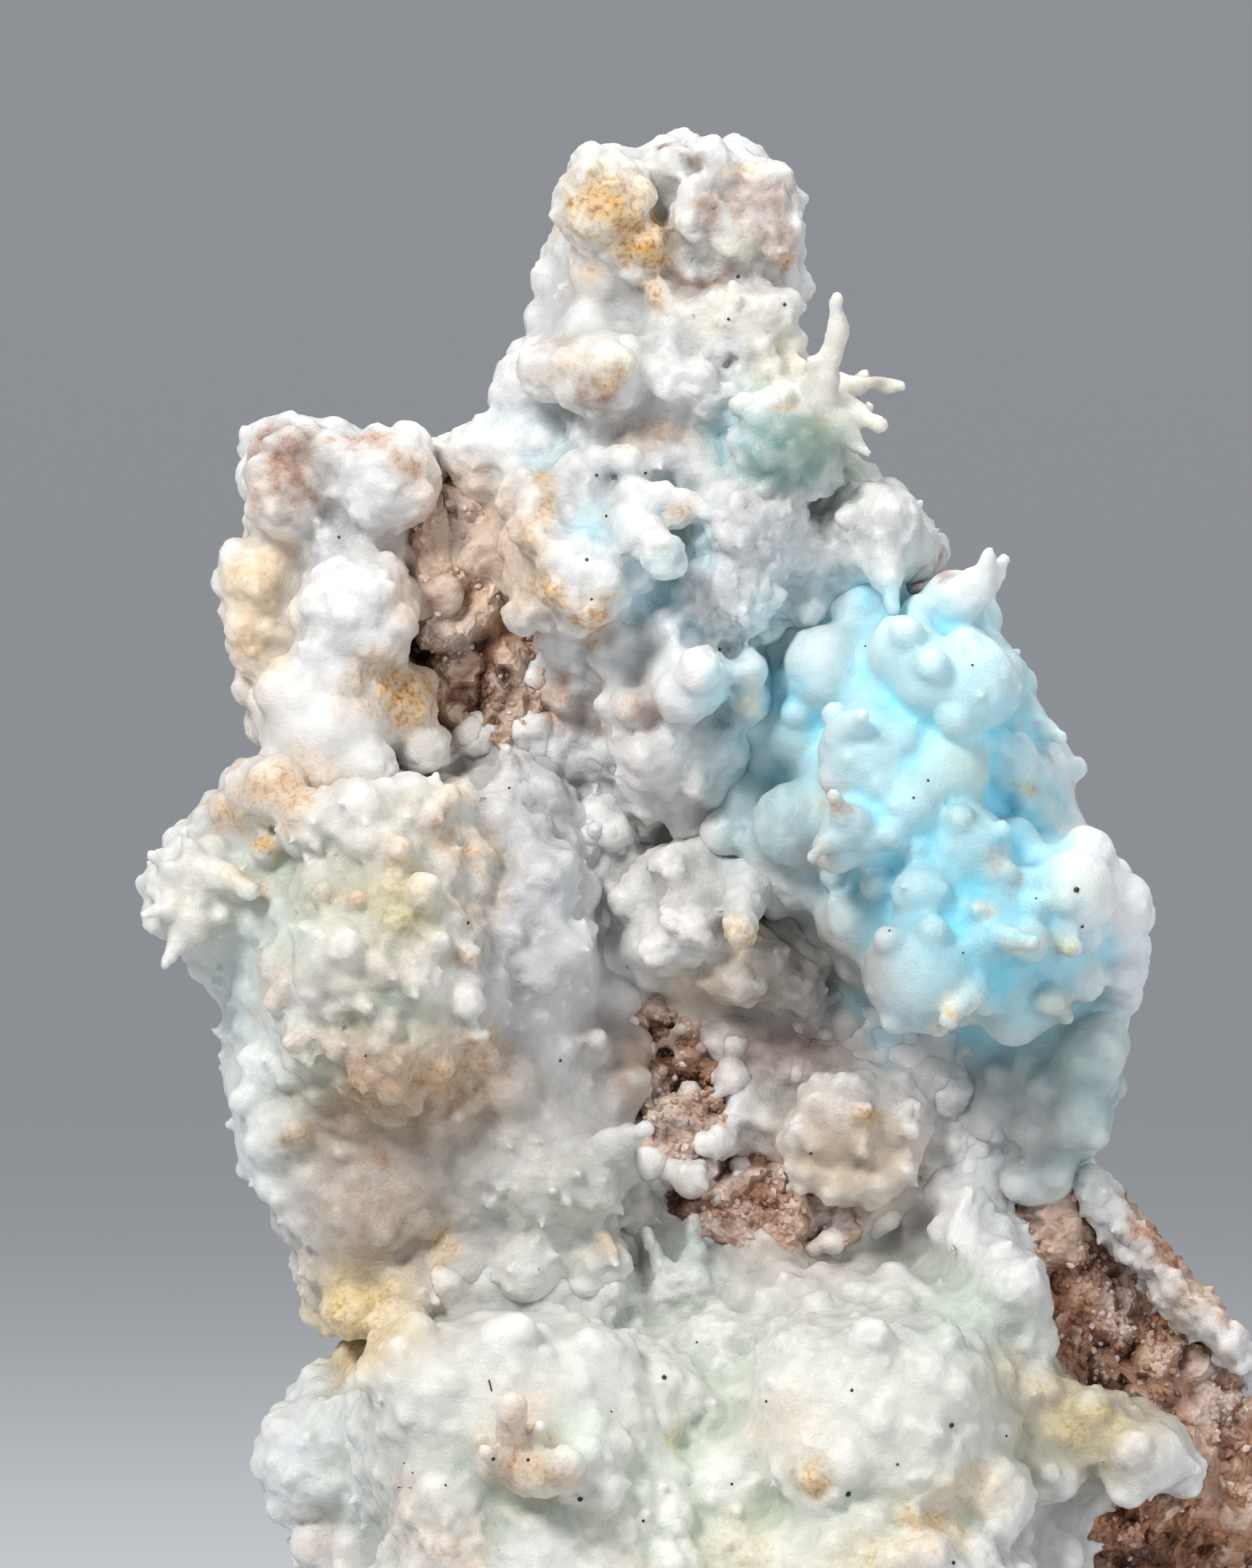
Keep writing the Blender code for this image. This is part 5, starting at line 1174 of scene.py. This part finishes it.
def make_rock():
    """The rock: broken faces, pitted and lumpy, painted brown, with painted shade in its pits."""
    thing = soft_form("brown_rock", "brown_rock_body", 0)
    fuse(thing, ROCK_GRAIN, 4)
    places = drawn_places(thing)
    heights = 1.1 * facet_heights(places, 4.2, 61) + 0.8 * facet_heights(places, 1.9, 62)
    heights += 0.35 * soft_noise(places, 1.0, 63) + 1.1 * soft_noise(places, 3.2, 64)
    facing = blend_step(0.3, 0.8, -read_normals(thing)[:, 1])
    heights += inside(places, RAISED_ZONES) * facing * (places[:, 1] < FRONT_DEPTH)
    heights[places[:, 2] < 0.4] = 0
    push_out(thing, heights)
    stand_on_floor(thing)
    thin_out(thing, ROCK_FACES)
    places = drawn_places(thing)
    relief = 1.6 * relief_of(thing, NUB_ROUNDS) + 1.1 * relief_of(thing, BLUR_ROUNDS)
    chance = 0.45 + 0.45 * soft_noise(places, 0.8, 66)
    dress(thing, ROCK, tint=rock_colours(places, relief), chance=chance)
    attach(thing, "root")
    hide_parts("brown_rock")
    return thing


def make_crystals(rock):
    """Small blunt crystals that sugar the rock."""
    places = drawn_places(rock)
    bare = 0.06 + inside(places, ROCK_ZONES) * (places[:, 1] < FRONT_DEPTH)
    share = blend_step(-0.5, 0.6, soft_noise(places, 2.6, 71)) * (places[:, 2] > 0.8) * bare
    mark_strewing(rock, np.clip(share, 0, 1))
    mesh = strewn_mesh(
        rock, CRYSTAL, ROCK, Spacing=0.5 * MM, Density=7 / MM ** 2, Least=0.12 * MM,
        Greatest=0.38 * MM, Lean=1.4, Seed=9)
    thing = new_object("rock_crystals", mesh)
    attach(thing, "root")


def make_specks(pieces):
    """Grains and needles of black ore that lie on the growths."""
    trees = [surface_tree(piece) for piece in pieces]

    def front_at(x, z):
        hits = [line_of_sight(tree, x, z)[0] for tree in trees]
        hits = [hit for hit in hits if hit is not None]
        return to_drawing(min(hits, key=lambda hit: hit.y)) if hits else None

    grains = []
    for x, z, radius in SPECKS:
        hit = front_at(x, z)
        if hit is not None:
            grains.append((hit, 0.75 * radius))
    for x, z, tip_x, tip_z in NEEDLES:
        start, end = front_at(x, z), front_at(tip_x, tip_z)
        if start is not None and end is not None:
            grains += [(start + (end - start) * k / 8 - np.array((0, 0.05, 0)), 0.08) for k in range(9)]
    thing = new_object("ore_specks", ball_mesh(grains, 1))
    thing.data.materials.append(ORE)
    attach(thing, "root")


def new_material(name, roughness):
    material = bpy.data.materials.new(name)
    material.use_nodes = True
    shader = material.node_tree.nodes["Principled BSDF"]
    shader.inputs["Roughness"].default_value = roughness
    return material, material.node_tree, shader


def attribute(tree, name):
    return add_node(tree, "ShaderNodeAttribute", attribute_name=name).outputs


def place_in_object(tree):
    return add_node(tree, "ShaderNodeTexCoord").outputs["Object"]


def noise(tree, size, detail):
    """Cloudy noise whose grains have a size in millimetres."""
    inputs = {"Vector": place_in_object(tree), "Scale": 1 / (size * MM), "Detail": detail}
    return add_node(tree, "ShaderNodeTexNoise", inputs).outputs[0]


def ranged(tree, value, ends):
    """A value moved from one range to another, each 0 to 1 unless its ends are given."""
    return add_node(tree, "ShaderNodeMapRange", {"Value": value, **ends}).outputs[0]


def scaled_colour(tree, colour, factor):
    inputs = {0: colour, "Scale": factor}
    return add_node(tree, "ShaderNodeVectorMath", inputs, operation="SCALE").outputs[0]


def mixed_colour(tree, factor, first, second):
    inputs = {"Factor": factor, "A": first, "B": second}
    return add_node(tree, "ShaderNodeMix", inputs, data_type="RGBA").outputs["Result"]


def link_shader(tree, shader, colour, height, strength, depth):
    """Gives a shader its colour, and bumps of a depth in millimetres."""
    inputs = {"Strength": strength, "Distance": depth * MM, "Height": height}
    bump = add_node(tree, "ShaderNodeBump", inputs)
    tree.links.new(colour, shader.inputs["Base Color"])
    tree.links.new(bump.outputs[0], shader.inputs["Normal"])


def aragonite_finish():
    """Waxy, translucent crust: the painted tint, fine mottling, freckled stains and velvet."""
    material, tree, shader = new_material("aragonite", 0.36)
    shade = ranged(tree, noise(tree, 0.9, 5), {"To Min": 0.90, "To Max": 1.08})
    tint = scaled_colour(tree, attribute(tree, "tint")["Color"], shade)
    freckles = ranged(tree, noise(tree, 0.5, 3), {"From Min": 0.48, "From Max": 0.64})
    stain = attribute(tree, "stain")["Fac"]
    share = add_node(tree, "ShaderNodeMath", {0: freckles, 1: stain}, operation="MULTIPLY")
    brown = add_node(tree, "ShaderNodeVectorMath", {0: tint, 1: FRECKLE}, operation="MULTIPLY")
    stained = mixed_colour(tree, share.outputs[0], tint, brown.outputs[0])
    link_shader(tree, shader, stained, noise(tree, 0.22, 4), 0.8, 0.12)
    shader.inputs["Subsurface Weight"].default_value = 0.6
    shader.inputs["Subsurface Radius"].default_value = (1.0, 0.95, 0.85)
    shader.inputs["Subsurface Scale"].default_value = 0.7 * MM
    shader.inputs["IOR"].default_value = 1.5
    shader.inputs["Specular IOR Level"].default_value = 0.4
    return material


def rock_finish():
    """Iron-stained sugary rock: each grain has its own shade, and a few are frosted."""
    material, tree, shader = new_material("iron_stained_rock", 0.55)
    chance = attribute(tree, "chance")["Fac"]
    shade = ranged(tree, chance, {"To Min": 0.65, "To Max": 1.35})
    frost = ranged(tree, chance, {"From Min": 0.80, "From Max": 0.86, "To Max": 0.55})
    tint = scaled_colour(tree, attribute(tree, "tint")["Color"], shade)
    frosted = mixed_colour(tree, frost, tint, (*linear(GRAIN_FROST), 1))
    inputs = {"Vector": place_in_object(tree), "Scale": 1 / (0.55 * MM)}
    grain = add_node(tree, "ShaderNodeTexVoronoi", inputs)
    link_shader(tree, shader, frosted, grain.outputs["Distance"], 0.7, 0.3)
    return material


def ore_finish():
    """Black ore in grains."""
    material, tree, shader = new_material("black_ore", 0.5)
    ramp = add_node(tree, "ShaderNodeValToRGB", {0: noise(tree, 0.3, 2)})
    ramp.color_ramp.elements[0].color = (*linear(SOOT), 1)
    ramp.color_ramp.elements[1].color = (*linear(ORE_EDGE), 1)
    tree.links.new(ramp.outputs[0], shader.inputs["Base Color"])
    return material


def floor_finish():
    """Pale grey, faintly aglow."""
    material, _, shader = new_material("pale_floor", 0.8)
    shader.inputs["Base Color"].default_value = (*linear(FLOOR), 1)
    shader.inputs["Emission Color"].default_value = (0.93, 0.96, 1.0, 1)
    shader.inputs["Emission Strength"].default_value = 0.16
    return material


def make_stage():
    """A pale round floor that curves up into a wall on every side. Lengths are in metres."""
    reach, bend, top, steps = 2.7, 0.6, 2.6, 96
    path = [(0.001, 0.0), (0.6, 0.0), (1.4, 0.0), (reach, 0.0)]
    for k in range(1, 13):
        angle = math.radians(90 * k / 12)
        path.append((reach + bend * math.sin(angle), bend * (1 - math.cos(angle))))
    path.append((reach + bend, top))
    turns = [2 * math.pi * k / steps for k in range(steps)]
    bm = bmesh.new()
    rings = []
    for radius, height in path:
        rings.append([bm.verts.new((radius * math.cos(t), radius * math.sin(t), height)) for t in turns])
    for low, high in zip(rings, rings[1:]):
        for k in range(steps):
            after = (k + 1) % steps
            bm.faces.new((low[k], low[after], high[after], high[k]))
    bm.faces.new(rings[0])
    bmesh.ops.reverse_faces(bm, faces=[face for face in bm.faces if face.normal.z < -0.5])
    mesh = closed(bm, bpy.data.meshes.new("floor"))
    floor = new_object("floor", mesh)
    for polygon in mesh.polygons:
        polygon.use_smooth = True
    mesh.materials.append(floor_finish())


def add_light(name, place, size, power, colour):
    """A round lamp that looks at the middle of the specimen. Lengths are in metres."""
    light = bpy.data.lights.new(name, "AREA")
    light.shape = "DISK"
    light.size = size
    light.energy = power
    light.color = colour
    lamp = new_object(name, light)
    lamp.location = place
    lamp.rotation_euler = (Vector((0, 0, 0.07)) - Vector(place)).to_track_quat("-Z", "Y").to_euler()


def make_lights():
    add_light("key", (-0.50, -0.70, 0.75), 0.36, 11.0, (1.0, 0.985, 0.96))
    add_light("fill", (0.75, -0.70, 0.20), 0.60, 3.6, (0.98, 0.99, 1.0))
    add_light("top", (0.10, 0.10, 0.90), 0.40, 4.0, (1.0, 1.0, 1.0))
    world = bpy.data.worlds.new("studio")
    bpy.context.scene.world = world
    world.use_nodes = True
    sky = world.node_tree.nodes["Background"]
    sky.inputs["Color"].default_value = (0.97, 0.98, 1.0, 1)
    sky.inputs["Strength"].default_value = 0.18


def make_camera():
    """Level with the middle of the photograph's frame, 103.32 by 129.36 mm of the drawing."""
    distance, frame_height, middle, sensor = 1.2, 129.36, 79.32, 36.0
    data = bpy.data.cameras.new("view")
    data.sensor_width = sensor
    data.lens = sensor * distance / (frame_height * MM)
    data.clip_start = 0.05
    data.clip_end = 10.0
    camera = new_object("view", data)
    x, y, z = to_model((0, 0, middle))
    camera.location = (x, y - distance, z)
    camera.rotation_euler = (math.radians(90), 0, 0)
    bpy.context.scene.camera = camera
    bpy.context.scene.view_settings.view_transform = "Standard"


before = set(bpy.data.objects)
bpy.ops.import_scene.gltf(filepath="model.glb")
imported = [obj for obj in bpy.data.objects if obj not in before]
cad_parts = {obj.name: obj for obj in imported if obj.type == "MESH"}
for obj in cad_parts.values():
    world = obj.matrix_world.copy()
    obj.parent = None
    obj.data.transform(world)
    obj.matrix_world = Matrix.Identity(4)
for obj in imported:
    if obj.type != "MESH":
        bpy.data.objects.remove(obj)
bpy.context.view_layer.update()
SOLIDS = solids_tree()
STREWING = strewing_tree()
NUB = template("nub", 2, nub_corner)
LUMP = template("lump", 3, lump_corner)
CRYSTAL = template("crystal", 1, crystal_corner)
ARAGONITE = aragonite_finish()
ROCK = rock_finish()
ORE = ore_finish()
rock = make_rock()
growths = [make_growth(spec, rock) for spec in GROWTHS]
growths.append(make_rock_crust(rock))
make_crystals(rock)
make_specks(growths)
drop(NUB)
drop(LUMP)
drop(CRYSTAL)
make_stage()
make_lights()
make_camera()
